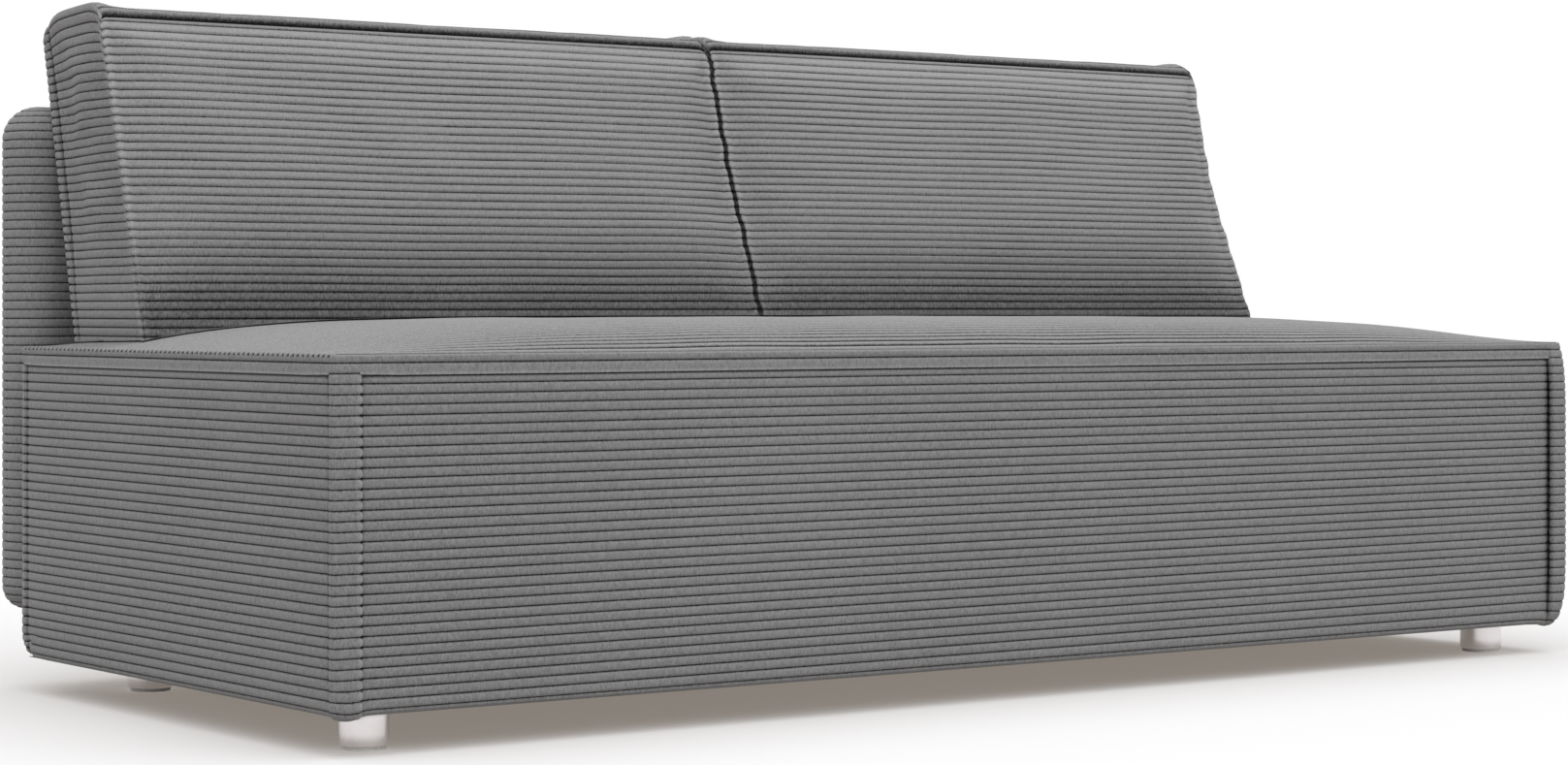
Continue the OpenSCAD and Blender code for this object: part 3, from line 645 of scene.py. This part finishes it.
def panel(name, start, end, nodes, seams, slots=()):
    """A padded panel under the band, in the window between two points.

    seams: for both its upright seams, how far each pulls it in, how dark the fold beside it is and how wide
    that dark line is. slots: how far along the panel its slots are."""
    points, outward = straight_path(start, end, 0.024, panel_lap)
    length = np.linalg.norm(points - points[0], axis=1)
    length = np.union1d(length, np.concatenate([panel_near, length[-1] - panel_near]))
    for place in slots:
        length = np.union1d(length, [place - slot_half, place + slot_half])
    points = points[0] + (length/length[-1])[:, None]*(points[-1] - points[0])
    outward = np.broadcast_to(outward[0], points.shape)
    rows = np.union1d(rib_rows(hem_low, seam_z + panel_lap), seam_z - np.array([0.001, 0.002, 0.003]))
    top_off = (rows[-1] - rows)[:, None]
    offs = (length[None], length[-1] - length[None])
    dip = np.maximum(*[deep*np.exp(-off/pull_reach) for (deep, _, _), off in zip(seams, offs)])
    dip = np.maximum(dip, band_dip*np.exp(-top_off/band_dip_reach))
    wave = panel_wave*ripple(length[None], rows[:, None], 11, panel_wave_size)
    grid = settle(wall((points, outward), rows, hem, wave*np.clip(1 - dip/0.004, 0, 1) - dip))
    # painted shade: a dark line just under the band, and dark folds beside the upright seams that fade out over
    # the panel's foot
    band_shade = 1 - 0.6*bump_at(top_off, panel_lap + 0.0028, 0.0016)
    fade = np.clip((rows - under - fold_fade_from)/fold_fade_over, 0, 1)[:, None]
    dark = fade*np.maximum(*[shade*bump_at(off, panel_lap + fold_r, wide)
                             for (_, shade, wide), off in zip(seams, offs)])
    hole = np.zeros((len(rows) - 1, len(length) - 1), bool)
    for place in slots:
        across = np.abs((length[1:] + length[:-1])/2 - place) < slot_half
        up = np.abs((rows[1:] + rows[:-1])/2 - (slot_low + slot_high)/2) < (slot_high - slot_low)/2
        hole |= up[:, None] & across[None]
    cloth = Cloth()
    cloth.add_ribbed(grid, rows, painted_light=band_shade*(1 - dark), skip=hole)
    for place in slots:
        add_slot_lip(cloth, points[0] + (place/length[-1])*(points[-1] - points[0]), outward[0])
    made = cloth.build(name, fabric)
    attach(made, "seat_base")
    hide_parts(*nodes)


# %% [markdown]
# The rear panel has two slots for the arms that carry the back. They are left out of the panel's grid, and a
# short wall of fabric turns in all round each slot, so the cover doesn't end as a bare edge.

# %% Slots for the arms
arm_half = 0.006  # of an arm's thickness
slot_gap = 0.004  # at its sides
slot_half = arm_half + slot_gap
lip_depth = 0.010
lift = 0.268  # how far the back's hinge rises
track_x = 0.700  # of the arms, to either side of the middle
pin_low, pin_high = box("pivot_pins")
pivot_z = (pin_low[2] + pin_high[2])/2
slot_low = pivot_z - arm_half - slot_gap - 0.001
slot_high = pivot_z + lift + arm_half + 0.003


def add_slot_lip(cloth, place, outward):
    """A short wall of fabric that goes inwards all round a slot."""
    along = right_of(outward)
    corner = [(-1, slot_low), (1, slot_low), (1, slot_high), (-1, slot_high), (-1, slot_low)]
    ring = [[*(place + along*side*slot_half - outward*deep), z]
            for deep in (fabric_gap, lip_depth) for side, z in corner]
    # painted shade: the lip's colour value of 0.4, under the plain fabric's 0.8, darkens the inside of the slot
    cloth.add(np.array(ring).reshape(2, 5, 3), 0.4)


# %% The four panels
slot_places = [sides[2][0][0] + panel_lap - x for x in (track_x, -track_x)]
# each seam: how far it pulls the panel in, how strong the painted shade of its fold is, and how wide that line
# is
panels = [("front_panel", ["front_cover", "front_pad"], ((0.0055, 0.85, 0.0020), (0.0085, 0.35, 0.0060))),
          ("right_end_panel", ["end_cover_right", "end_pad_right"],
           ((0.0095, 0.6, 0.005), (0.006, 0.6, 0.003))),
          ("rear_panel", ["rear_cover", "rear_pads"], ((0.006, 0.6, 0.003), (0.006, 0.6, 0.003)), slot_places),
          ("left_end_panel", ["end_cover_left", "end_pad_left"], ((0.006, 0.7, 0.003), (0.0055, 0.9, 0.0036)))]
for (start, end), (name, *rest) in zip(sides, panels):
    panel(name, start, end, *rest)

# %% [markdown]
# ## The back board
# The back is one padded board with round edges all round. Bevelling a box would break its ribs at the
# corners, so level rings of ribs run round it from the bottom to the top, where they close over the ridge.
# Two pockets in its lower front edge leave room for the pivots' brackets and for the arms, which come in from
# the front at rest and from below when the back lies flat.

# %% The ring round the board
back_low, back_high = box("back_cover")
board_mid = (back_low + back_high)/2
board_t = back_high[1] - back_low[1]
board_low_r, board_high_r, board_side_r = 0.030, 0.042, 0.042
bracket_low, bracket_high = box("pivot_brackets")
pocket_half = bracket_high[0] - track_x + 0.004
pocket_edges = [side*track_x + edge*pocket_half for side in (-1, 1) for edge in (-1, 1)]


def board_profile(t):
    """The board's outline seen from its end: how far a ring is drawn in, and its height."""
    z0, z1 = back_low[2] + board_low_r, back_high[2] - board_high_r
    low_angle = np.clip((z0 - t)/board_low_r, 0, math.pi/2)
    high_angle = np.clip((t - z1)/board_high_r, 0, math.pi/2)
    draw = board_low_r*(1 - np.cos(low_angle)) + board_high_r*(1 - np.cos(high_angle))
    return draw, np.clip(t, z0, z1) - board_low_r*np.sin(low_angle) + board_high_r*np.sin(high_angle)


(x0, y0), (x1, y1) = back_low[:2], back_high[:2]
board_corners = [((x0, y0), (0, -1), (1, 0)), ((x1, y0), (1, 0), (0, 1)),
                 ((x1, y1), (0, 1), (-1, 0)), ((x0, y1), (-1, 0), (0, -1))]
ring_points, ring_out = [], []
for number, (corner, before, after) in enumerate(board_corners):
    points, outward = corner_path(corner, before, after, board_t/2, board_t/2, board_side_r, fold=0)
    ring_points.append(points)
    ring_out.append(outward)
    if number % 2 == 0:  # the long front or rear side follows
        far = points[-1] + np.array(after)*(back_high[0] - back_low[0] - board_t)
        way, direction = straight_path(points[-1], far, 0.055)
        if number == 0:
            x = np.union1d(way[:, 0], pocket_edges)
            way = np.stack([x, np.full_like(x, way[0, 1])], axis=-1)
        ring_points.append(way[1:-1])
        ring_out.append(np.broadcast_to(direction[0], way[1:-1].shape))
ring = [np.concatenate(part + [part[0][:1]]) for part in (ring_points, ring_out)]
board_rows = rib_rows(back_low[2] + board_low_r*(1 - math.pi/2), back_high[2] + board_high_r*(math.pi/2 - 1))
pocket_top = board_rows[board_rows > bracket_high[2] + 0.002][0]
print("board ring of", len(ring[0]), "points,", len(board_rows), "rows, pockets up to", round(pocket_top, 4))


# %% Back board
def in_pocket(grid):
    """The faces of a grid that would close a pocket."""
    middle = (grid[:-1, :-1] + grid[1:, 1:])/2
    beside = np.abs(np.abs(middle[..., 0]) - track_x) < pocket_half
    return beside & (middle[..., 1] < board_mid[1]) & (middle[..., 2] < pocket_top)


def board_cap(draw_from, draw_to, z):
    """A level ring that closes the board, between two distances from its outline."""
    return wall(ring, np.array([0, 1]), lambda t: (np.array([draw_from, draw_to]), np.full(2, z)))


board = Cloth()
points = wall(ring, board_rows, board_profile)
board.add_ribbed(points, board_rows, depth=low_depth, skip=in_pocket(points))
nearly_half = board_t/2 - 0.0001
board.add(board_cap(board_high_r, nearly_half, back_high[2]), 0.8)
foot_cap = board_cap(nearly_half, board_low_r, back_low[2])
board.add(foot_cap, 0.8, in_pocket(foot_cap))

# the pockets' side walls, ceilings and rear walls
pocket_front = back_low[1] + fabric_gap
wall_draw, wall_z = board_profile(board_rows[board_rows <= pocket_top])
wall_y = np.stack([pocket_front + wall_draw, np.full_like(wall_draw, board_mid[1])], axis=-1)
# painted shade: the pockets' walls and ceilings get a colour value of 0.5, under the plain fabric's 0.8, to
# darken their insides
for x in pocket_edges:
    board.add(np.stack([np.full_like(wall_y, x), wall_y, np.stack([wall_z, wall_z], axis=-1)], axis=-1), 0.5)
for middle_x in (-track_x, track_x):
    ends = middle_x + np.array([-pocket_half, pocket_half])
    ceiling = [[[a, b, pocket_top] for a in ends] for b in (pocket_front, board_mid[1])]
    rear_wall = [[[a, board_mid[1], c] for a in ends] for c in (back_low[2], pocket_top)]
    board.add(np.array(ceiling), 0.5)
    board.add(np.array(rear_wall), 0.5)
back_board = board.build("back_board", fabric)
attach(back_board, "back")
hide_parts("back_cover", "back_foam")

# %% [markdown]
# ## The loose cushions
# Each cushion is a box of soft filling that leans back: a front and a rear panel joined by a border all
# round. The border is sewn to the panels, so every edge is a seam that pulls in, and each rib swells a little
# beside it. One function places any point of the box from three numbers, so that panels and border meet at
# their seams.

# %% Sizes of a cushion
lean = math.radians(17)
cushion_h = 0.389  # of its front face, along the lean
cushion_low_t = 0.186  # its thickness at the foot
cushion_top_t = 0.160
cushion_drop = 0.010  # how much lower its rear top edge lies
border_rise = 0.021  # how much the border stands over the top seams
corner_r = 0.010
sag = 0.030  # how far the grids reach below the foot, before they are laid on the seat
welt = 0.008  # of the roll along the side border's rear edge
rest_z = box("cushion_left_cover")[0][2]
cushion_front = front + 0.537


def cushion_place(u, t, k, half):
    """A point of the leaning box: u across it, t up its front face, k from its front (0) to its rear (1)."""
    share = t/cushion_h
    up = np.clip(share, 0, 1)
    turn_up = np.clip((t - cushion_h + corner_r)/corner_r, 0, 1)*math.pi/4
    turn_side = np.clip((np.abs(u)*half - half + corner_r)/corner_r, 0, 1)*math.pi/4
    x = u*(half - corner_r*(1 - np.cos(turn_up)))
    rear_t = cushion_low_t + share*(cushion_top_t - cushion_low_t)
    y = cushion_front + t*math.sin(lean) + rear_t*k
    z = rest_z + t*math.cos(lean) - up*cushion_drop*k
    z = z + up**6*(border_rise*(1 - np.abs(2*k - 1)**5) - corner_r*(1 - np.cos(turn_side)))
    return np.stack([x, y, z], axis=-1)


print("cushions start", round(cushion_front - front, 3), "m behind the block's front")

# %% [markdown]
# What makes a cushion look soft is how its filling pushes against the cover. That is left to a cloth
# simulation: a closed copy of the box is remeshed evenly and blown up by pressure, with gravity off, for
# twenty frames. Its shape isn't used itself. Only how far it moved is kept, and the ribbed grids are moved by
# the same field, so seams and ribs stay as fine as they are drawn.

# %% Swelling by cloth simulation
form_mesh = 0.02
voxel = 0.009
last_frame = 20
largest_swell = 0.024
cloth_settings = {"quality": 5, "mass": 0.3, "tension_stiffness": 12, "compression_stiffness": 12,
                  "bending_stiffness": 2, "use_pressure": True, "uniform_pressure_force": 4}


def box_grids(half):
    """The six faces of a cushion as grids that face outwards."""
    across, up, deep = (steps(0, 1, form_mesh/length) for length in (2*half, cushion_h, cushion_low_t))
    t = up*(cushion_h + sag) - sag
    faces = []
    for k in (0, 1):
        u, tt = np.meshgrid((2*across - 1)*(1 - 2*k), t)
        faces.append(cushion_place(u, tt, np.full_like(u, k), half))
    for side in (1, -1):
        kk, tt = np.meshgrid(deep if side == 1 else deep[::-1], t)
        faces.append(cushion_place(np.full_like(kk, side), tt, kk, half))
    for t_end, flip in ((cushion_h, 1), (-sag, -1)):
        u, kk = np.meshgrid((2*across - 1)*flip, deep)
        faces.append(cushion_place(u, np.full_like(u, t_end), kk, half))
    return faces


def closed_form(half):
    """The closed and evenly meshed box that is blown up."""
    form = Cloth()
    for grid in box_grids(half):
        form.add(grid)
    shell = form.build("swelling_form", None)
    bm = bmesh.new()
    bm.from_mesh(shell.data)
    bmesh.ops.remove_doubles(bm, verts=bm.verts, dist=0.002)
    bm.to_mesh(shell.data)
    bm.free()
    shell.data.remesh_voxel_size = voxel
    bpy.context.view_layer.objects.active = shell
    shell.select_set(True)
    bpy.ops.object.voxel_remesh()
    return shell


def swelling(half):
    """Where the filling moves the cushion's cover: places, and the move at each."""
    shell = closed_form(half)
    start = np.array([v.co for v in shell.data.vertices])
    cloth = shell.modifiers.new("filling", "CLOTH")
    for name, value in cloth_settings.items():
        setattr(cloth.settings, name, value)
    cloth.settings.effector_weights.gravity = 0
    cloth.point_cache.frame_end = last_frame
    for number in range(1, last_frame + 1):
        scene.frame_set(number)
    shown = shell.evaluated_get(bpy.context.evaluated_depsgraph_get())
    moved = np.array([v.co for v in shown.data.vertices]) - start
    scene.frame_set(1)
    bpy.data.objects.remove(shell)
    length = np.linalg.norm(moved, axis=1, keepdims=True)
    print("swelling: largest move", float(length.max()))
    return start, moved*np.minimum(1, largest_swell/np.maximum(length, 1e-9))


class Filling:
    """Moves points of a cushion as its filling does."""

    def __init__(self, half):
        self.soft = swelling(half)
        if self.soft:
            self.tree = KDTree(len(self.soft[0]))
            for number, place in enumerate(self.soft[0]):
                self.tree.insert(place, number)
            self.tree.balance()

    def move(self, grid):
        """The move at every point of a grid, as the mean of the six nearest places."""
        if not self.soft:
            return np.zeros_like(grid)
        found = np.empty((grid.shape[0]*grid.shape[1], 3))
        for number, point in enumerate(grid.reshape(-1, 3)):
            near = self.tree.find_n(point, 6)
            weight = np.array([1/(d + 0.003)**2 for _, _, d in near])
            found[number] = weight @ self.soft[1][[i for _, i, _ in near]]/weight.sum()
        return found.reshape(grid.shape)


# %% [markdown]
# Every grid of a cushion is laid the same way: placed on the leaning box, swollen by the filling where it is
# free of the edges, and drawn in at the side seams. These are pulled back and in by about a centimetre and
# waver a little, as the outlines in the photograph show. Only the left cushion's outer seam stays straight.

# %% Laying a grid of a cushion
fine = np.array([0, 0.0015, 0.003, 0.0045, 0.006, 0.009, 0.013, 0.018, 0.026, 0.04, 0.06])
fill_share = 0.75  # how much of the filling's push the cover follows
seam_hold, foot_hold = 0.030, 0.07  # how far from a seam, and from the foot, the filling is held back
seam_width = 0.005
bead = 0.0014  # how far the ribs swell and the grooves sink along a side seam
inner_spread, outer_spread = -0.0010, 0.0012  # of the seams at the gap and away from it
pull_back, pull_in, waver = 0.0125, 0.010, 0.0008  # of the side seams
rumple, rumple_size = 0.0052, 0.075  # of the panels
drift, drift_size = 0.0032, 0.11  # of their ribs
fullness, plain_fullness = 0.014, 0.022  # of the panels, with the simulated filling and without it
panel_puff, side_puff = 0.0018, 0.0024  # of the ribs beside the side seams
top_seam, top_seam_width = 0.0085, 0.0034  # of the groove at a panel's top
side_foot, side_top, side_in = 0.007, 0.004, 0.003  # how the side border swells at foot and top, and sinks


def lay_on_seat(points):
    """Keeps a cushion's points on the crowned seat."""
    low = seat_surface(points[..., 0], points[..., 1]) + fabric_gap
    points[..., 2] = np.maximum(points[..., 2], low)
    return points


class Cushion:
    """The cover of one cushion. inner says at which side the other cushion stands: 1 right, -1 left."""

    def __init__(self, centre, half, filling, seed, inner):
        self.centre, self.half, self.filling, self.seed, self.inner = centre, half, filling, seed, inner
        self.rows = rib_rows(-sag, cushion_h, 0.0)
        middle = steps(-half + 0.09, half - 0.09, 0.03)
        self.columns = np.concatenate([-half + fine, middle, (half - fine)[::-1]])/half
        self.cloth = Cloth()

    def lay(self, u, t, k, across, out, strength=1.0, painted_light=1.0, belly=0.0):
        """Adds a grid. out moves it the way it faces, and belly too, but level."""
        grid = cushion_place(u, t, k, self.half)
        side_off, front_off, rear_off = (1 - np.abs(u))*self.half, k*cushion_low_t, (1 - k)*cushion_low_t
        edges = np.sort([side_off, cushion_h - t, t + sag, front_off, rear_off], axis=0)
        free = (1 - np.exp(-(edges[1]/seam_hold)**2))*(1 - np.exp(-(np.maximum(t, 0)/foot_hold)**2))
        outward = facing(grid)
        pushed = np.sum(self.filling.move(grid)*outward, axis=-1)*free*fill_share
        level = outward*np.where(np.abs(outward[..., 2:]) > 0.7, 1, [1, 1, 0])
        grid = grid + outward*out[..., None] + level*(pushed + belly)[..., None]
        at_front, at_rear = bump_at(front_off, 0, seam_width), bump_at(rear_off, 0, seam_width)
        beside = bump_at(side_off, 0, seam_width)*(1 - bump_at(cushion_h - t, 0, 0.006))
        spread = bead*(rib_shape(across, 0.0) - 0.6) + np.where(u*self.inner > 0, inner_spread, outer_spread)
        grid[..., 0] += np.sign(u)*spread*beside*(at_front + at_rear)
        grid[..., 1] += bead*beside*(at_rear - at_front)
        share = np.clip(t/cushion_h, 0, 1)
        held = np.where((self.inner < 0) | (u > 0), np.abs(u)**5, 0)
        rise = np.sin(math.pi/2*np.clip(share/0.6, 0, 1))**3
        grid[..., 1] += pull_back*rise*(1 - 0.35*share**3)*held*(1 - k)
        grid[..., 0] -= pull_in*np.sin(math.pi*share**0.9)*held*(u > 0)*(self.inner < 0)
        grid[..., 0] += waver*(np.sin(t/0.0062) + np.sin(t/0.0095 + 1))*held
        grid[..., 0] += self.centre
        # where strength under 1 presses the ribs flat near a seam, their grooves are painted into the colour
        # instead, partly as painted shade
        painted_light = painted_light*(1 - (1 - strength)*(1 - rib_shape(across, 0.0, 2.0)))
        self.cloth.add_ribbed(lay_on_seat(grid), across, 0.0, rib_depth, strength, painted_light=painted_light)

    def add_panel(self, k):
        """The front (k = 0) or rear (k = 1) panel, which bellies out and is rumpled."""
        u, t = np.meshgrid(self.columns*(1 - 2*k), self.rows)
        share = np.clip(t/cushion_h, 0, 1)
        swell = (1 - np.abs(u)**6)*(1 - np.abs(2*share - 1)**4)
        full = fullness if self.filling.soft else plain_fullness
        belly = (1 - np.abs(u)**5)*np.sin(math.pi*share**0.85)*full*(1 - 0.7*k)
        side_off, top_off = (1 - np.abs(u))*self.half, cushion_h - t
        puff = bump_at(side_off, 0.003, 0.0055)*(1 - bump_at(top_off, 0, 0.012))
        closed = 1 - bump_at(side_off, 0, 0.0030)
        out = rumple*ripple(u*self.half, t, self.seed + k, rumple_size)*swell*(0.35 + 0.65*share)
        out = out + panel_puff*puff*closed - 0.0008*bump_at(side_off, 0.013, 0.004)
        out = out - top_seam*bump_at(top_off, 0, top_seam_width)
        # painted light: lighter towards the top and on the puffs beside the side seams, as a painted highlight;
        # dark in the top seam, at the side seam by the other cushion and towards the foot on the seat, as
        # painted shade
        painted_light = (1 + 0.2*share**0.6)*(1 + 0.20*puff)*(1 - 0.85*bump_at(top_off, 0, 0.0036))
        painted_light = painted_light*(1 - 0.8*bump_at(side_off, 0, 0.0013)*(u*self.inner > 0))
        painted_light = painted_light*(1 - 0.52*np.exp(-(np.maximum(t - 0.005, 0)/0.060)**2))
        slide = drift*ripple(u*self.half, t, self.seed + 5, drift_size)*swell*(0.3 + 0.7*share)
        self.lay(u, t, np.full_like(u, k), t + slide, out, closed, painted_light, belly)

    def add_side(self, side):
        """The border at one side (1 right, -1 left), with the welt along its rear edge."""
        ends = fine[:10]/cushion_low_t
        deep = np.concatenate([ends, [0.3, 0.4, 0.5, 0.6, 0.7], (1 - ends)[::-1]])
        k, t = np.meshgrid(deep if side == 1 else deep[::-1], self.rows)
        share = np.clip(t/cushion_h, 0, 1)
        front_off, rear_off = k*cushion_low_t, (1 - k)*cushion_low_t
        full = 1 - (2*k - 1)**2
        out = full*(side_foot*np.exp(-(share/0.16)**2) + side_top*np.exp(-((1 - share)/0.2)**2) - side_in)
        puff = bump_at(front_off, 0.003, 0.0060) + 0.6*bump_at(rear_off, welt/2, 0.003)
        closed = 1 - bump_at(front_off, 0, 0.0030)
        out = out + side_puff*puff*closed - 0.0045*bump_at(rear_off, welt + 0.001, 0.0014)
        out = out + 0.0012*ripple(k*cushion_low_t, t, self.seed + 11, 0.06)*full
        # painted light: the puffs by the front seam and the welt are painted lighter, as a highlight, and the
        # groove in front of the welt dark, as painted shade; on the side that faces the other cushion the
        # border is painted darker near its front seam, as shade in the gap
        painted_light = (1 + 0.20*puff)*(1 - 0.75*bump_at(rear_off, welt + 0.001, 0.0022))
        if side == self.inner:
            painted_light = painted_light*(1 - 0.8*bump_at(front_off, 0, 0.011))
        self.lay(np.full_like(k, side), t, k, t, out, closed, painted_light)

    def add_top(self):
        """The border on top, which stands over the panels' top seams as a roll."""
        rows = rib_rows(0, cushion_top_t, 0.0)
        u, k = np.meshgrid(self.columns, rows/cushion_top_t)
        front_off = k*cushion_top_t
        out = -0.0055*bump_at(front_off, 0, 0.0025) - 0.004*bump_at((1 - k)*cushion_top_t, 0, 0.003)
        # painted shade: dark along the front seam, and a little darker in the roll just behind it
        painted_light = 1 - 0.8*bump_at(front_off, 0, 0.003) - 0.28*bump_at(front_off, 0.010, 0.012)
        out = out + 0.0022*ripple(u*self.half, k, self.seed + 9, 0.05)*(1 - u**8)*np.sin(math.pi*k)
        self.lay(u, np.full_like(k, cushion_h), k, rows[:, None], out, painted_light=painted_light)

    def add_foot(self):
        """The flat underside, which isn't ribbed."""
        u, k = np.meshgrid(self.columns[::-1], np.linspace(0, 1, 8))
        base = cushion_place(u, np.full_like(k, -sag), k, self.half)
        base[..., 0] += self.centre
        self.cloth.add(lay_on_seat(base), 0.8)


# %% [markdown]
# Both cushions have the same size and the same swelling, but their own ripples. Along the upright seams each
# rib puffs out a little and is painted lighter, as a painted highlight, and at the gap between the cushions the
# seams are painted dark, as painted shade.

# %% Cushions
low, high = box("cushion_left_cover")
cushion_half = (high[0] - low[0])/2
filling = Filling(cushion_half)
for side, seed, inner in (("left", 21, 1), ("right", 41, -1)):
    low, high = box(f"cushion_{side}_cover")
    cushion = Cushion((low[0] + high[0])/2, cushion_half, filling, seed, inner)
    cushion.add_panel(0)
    cushion.add_panel(1)
    cushion.add_side(1)
    cushion.add_side(-1)
    cushion.add_top()
    cushion.add_foot()
    made = cushion.cloth.build(f"cushion_{side}", fabric)
    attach(made, f"cushion_{side}")
    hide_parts(f"cushion_{side}_cover", f"cushion_{side}_fill")

# %% [markdown]
# ## Underside, feet and fittings
# Plywood, foam, felt, steel and plastic show from below or when the back is folded. Each has one colour with
# a slight grain in its colour, roughness and bump, which is drawn out along one axis for wood and for the
# feet's metal. They differ only in numbers, so one function makes them all.

# %% Other finishes
def plain_material(name, base, rough, metallic=0.0, grain=40.0, variation=0.12, bump=0.1, distance=0.0005,
                   stretch=(1, 1, 1)):
    """A material of one colour with a slight grain, which stretch draws out along an axis."""
    material, start = new_material(name)
    place = start.node("ShaderNodeTexCoord", out="Object")
    laid = start.node("ShaderNodeMapping", None, {"Vector": place, "Scale": stretch})
    noise, fine_noise = laid.noise(grain, 5), laid.noise(grain*8, 2)
    dark = tuple(c*(1 - variation) for c in base[:3]) + (1,)
    light = tuple(min(1, c*(1 + variation)) for c in base[:3]) + (1,)
    shade = ((noise - 0.5)*2.5 + 0.5).clipped().between(dark, light)
    relief = start.node("ShaderNodeBump", None, {"Height": noise*0.5 + fine_noise*0.5, "Strength": bump,
                                                 "Distance": distance})
    skin = start.node("ShaderNodeBsdfPrincipled", None, {
        "Base Color": shade, "Roughness": ((noise - 0.5)*0.3 + rough).clipped(), "Metallic": metallic,
        "Normal": relief})
    end_with(skin)
    return material


finishes = {
    "plywood": plain_material("plywood_birch", colour(206, 178, 138), 0.6, grain=12, bump=0.2,
                              stretch=(1, 1, 14)),
    "foam": plain_material("foam_cream", colour(232, 224, 196), 0.95, grain=260, bump=0.5, distance=0.001),
    "felt": plain_material("felt_dark", colour(58, 58, 60), 0.95, grain=180, variation=0.3, bump=0.6,
                           distance=0.001),
    "spring_steel": plain_material("steel_zinc", colour(150, 152, 156), 0.35, 1.0, grain=60, bump=0.05),
    "foot_metal": plain_material("metal_polished", colour(231, 227, 226), 0.28, 1.0, grain=25,
                                 variation=0.06, bump=0.05, stretch=(1, 1, 0.15)),
    "black_plastic": plain_material("plastic_black", colour(28, 28, 29), 0.5, grain=300, bump=0.2),
    "pale_glide": plain_material("plastic_pale", colour(238, 235, 232), 0.5, grain=300, bump=0.2),
    "ribbed_fabric": fabric,
}
print(len(finishes), "finishes")

# %% [markdown]
# The feet are short turned tubes of polished metal with a small round at each edge. Blender's own cylinder
# has sharp edges, so an outline is turned round the foot's axis, as on a lathe.

# %% Feet
bevel = 0.0012
for name in ("foot_front_left", "foot_front_right", "foot_rear_left", "foot_rear_right"):
    low, high = box(name)
    centre, radius, tall = (low + high)/2, (high[0] - low[0])/2, high[2] - low[2]
    edge = [(0.2*radius, 0), (radius - bevel, 0), (radius - 0.3*bevel, 0.3*bevel), (radius, bevel)]
    outline = ([(r, low[2] + off) for r, off in edge] + [(radius, low[2] + share*tall) for share in (0.35, 0.7)]
               + [(r, high[2] - off) for r, off in edge[::-1]])
    grid = np.array([[(centre[0] + r*math.cos(a), centre[1] + r*math.sin(a), z)
                      for a in np.linspace(0, 2*math.pi, 65)] for r, z in outline])
    lathe = Cloth()
    lathe.add(grid)
    made = lathe.build(name + "_turned", finishes["foot_metal"])
    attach(made, "seat_base")
    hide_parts(name)

# %% [markdown]
# A thin black cloth closes the block from below. It is stapled all round and can't sag far, so a flat grid
# with a faint wave stands for it.

# %% Underside cloth
low, high = box("underside_cloth")
x, y = np.meshgrid(np.linspace(low[0], high[0], 40)[::-1], np.linspace(low[1], high[1], 20))
lining = Cloth()
lining.add(np.stack([x, y, high[2] - 0.0008 + 0.0006*ripple(x, y, 71, 0.1)], axis=-1))
made = lining.build("underside_lining", finishes["felt"])
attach(made, "seat_base")
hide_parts("underside_cloth")

# %% [markdown]
# The CAD nodes that are kept get their finish by the name of their material. A node without one is printed.

# %% CAD nodes that stay get their finish
for name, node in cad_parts.items():
    for slot in node.material_slots:
        key = next((k for k in finishes if slot.material and slot.material.name.startswith(k)), None)
        if name == "foot_glides":
            key = "pale_glide"
        if key is None:
            print("no finish for", name, slot.material.name if slot.material else None)
        else:
            slot.material = finishes[key]

# %% Sizes
low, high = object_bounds()
print("visual box", tuple(low), tuple(high))
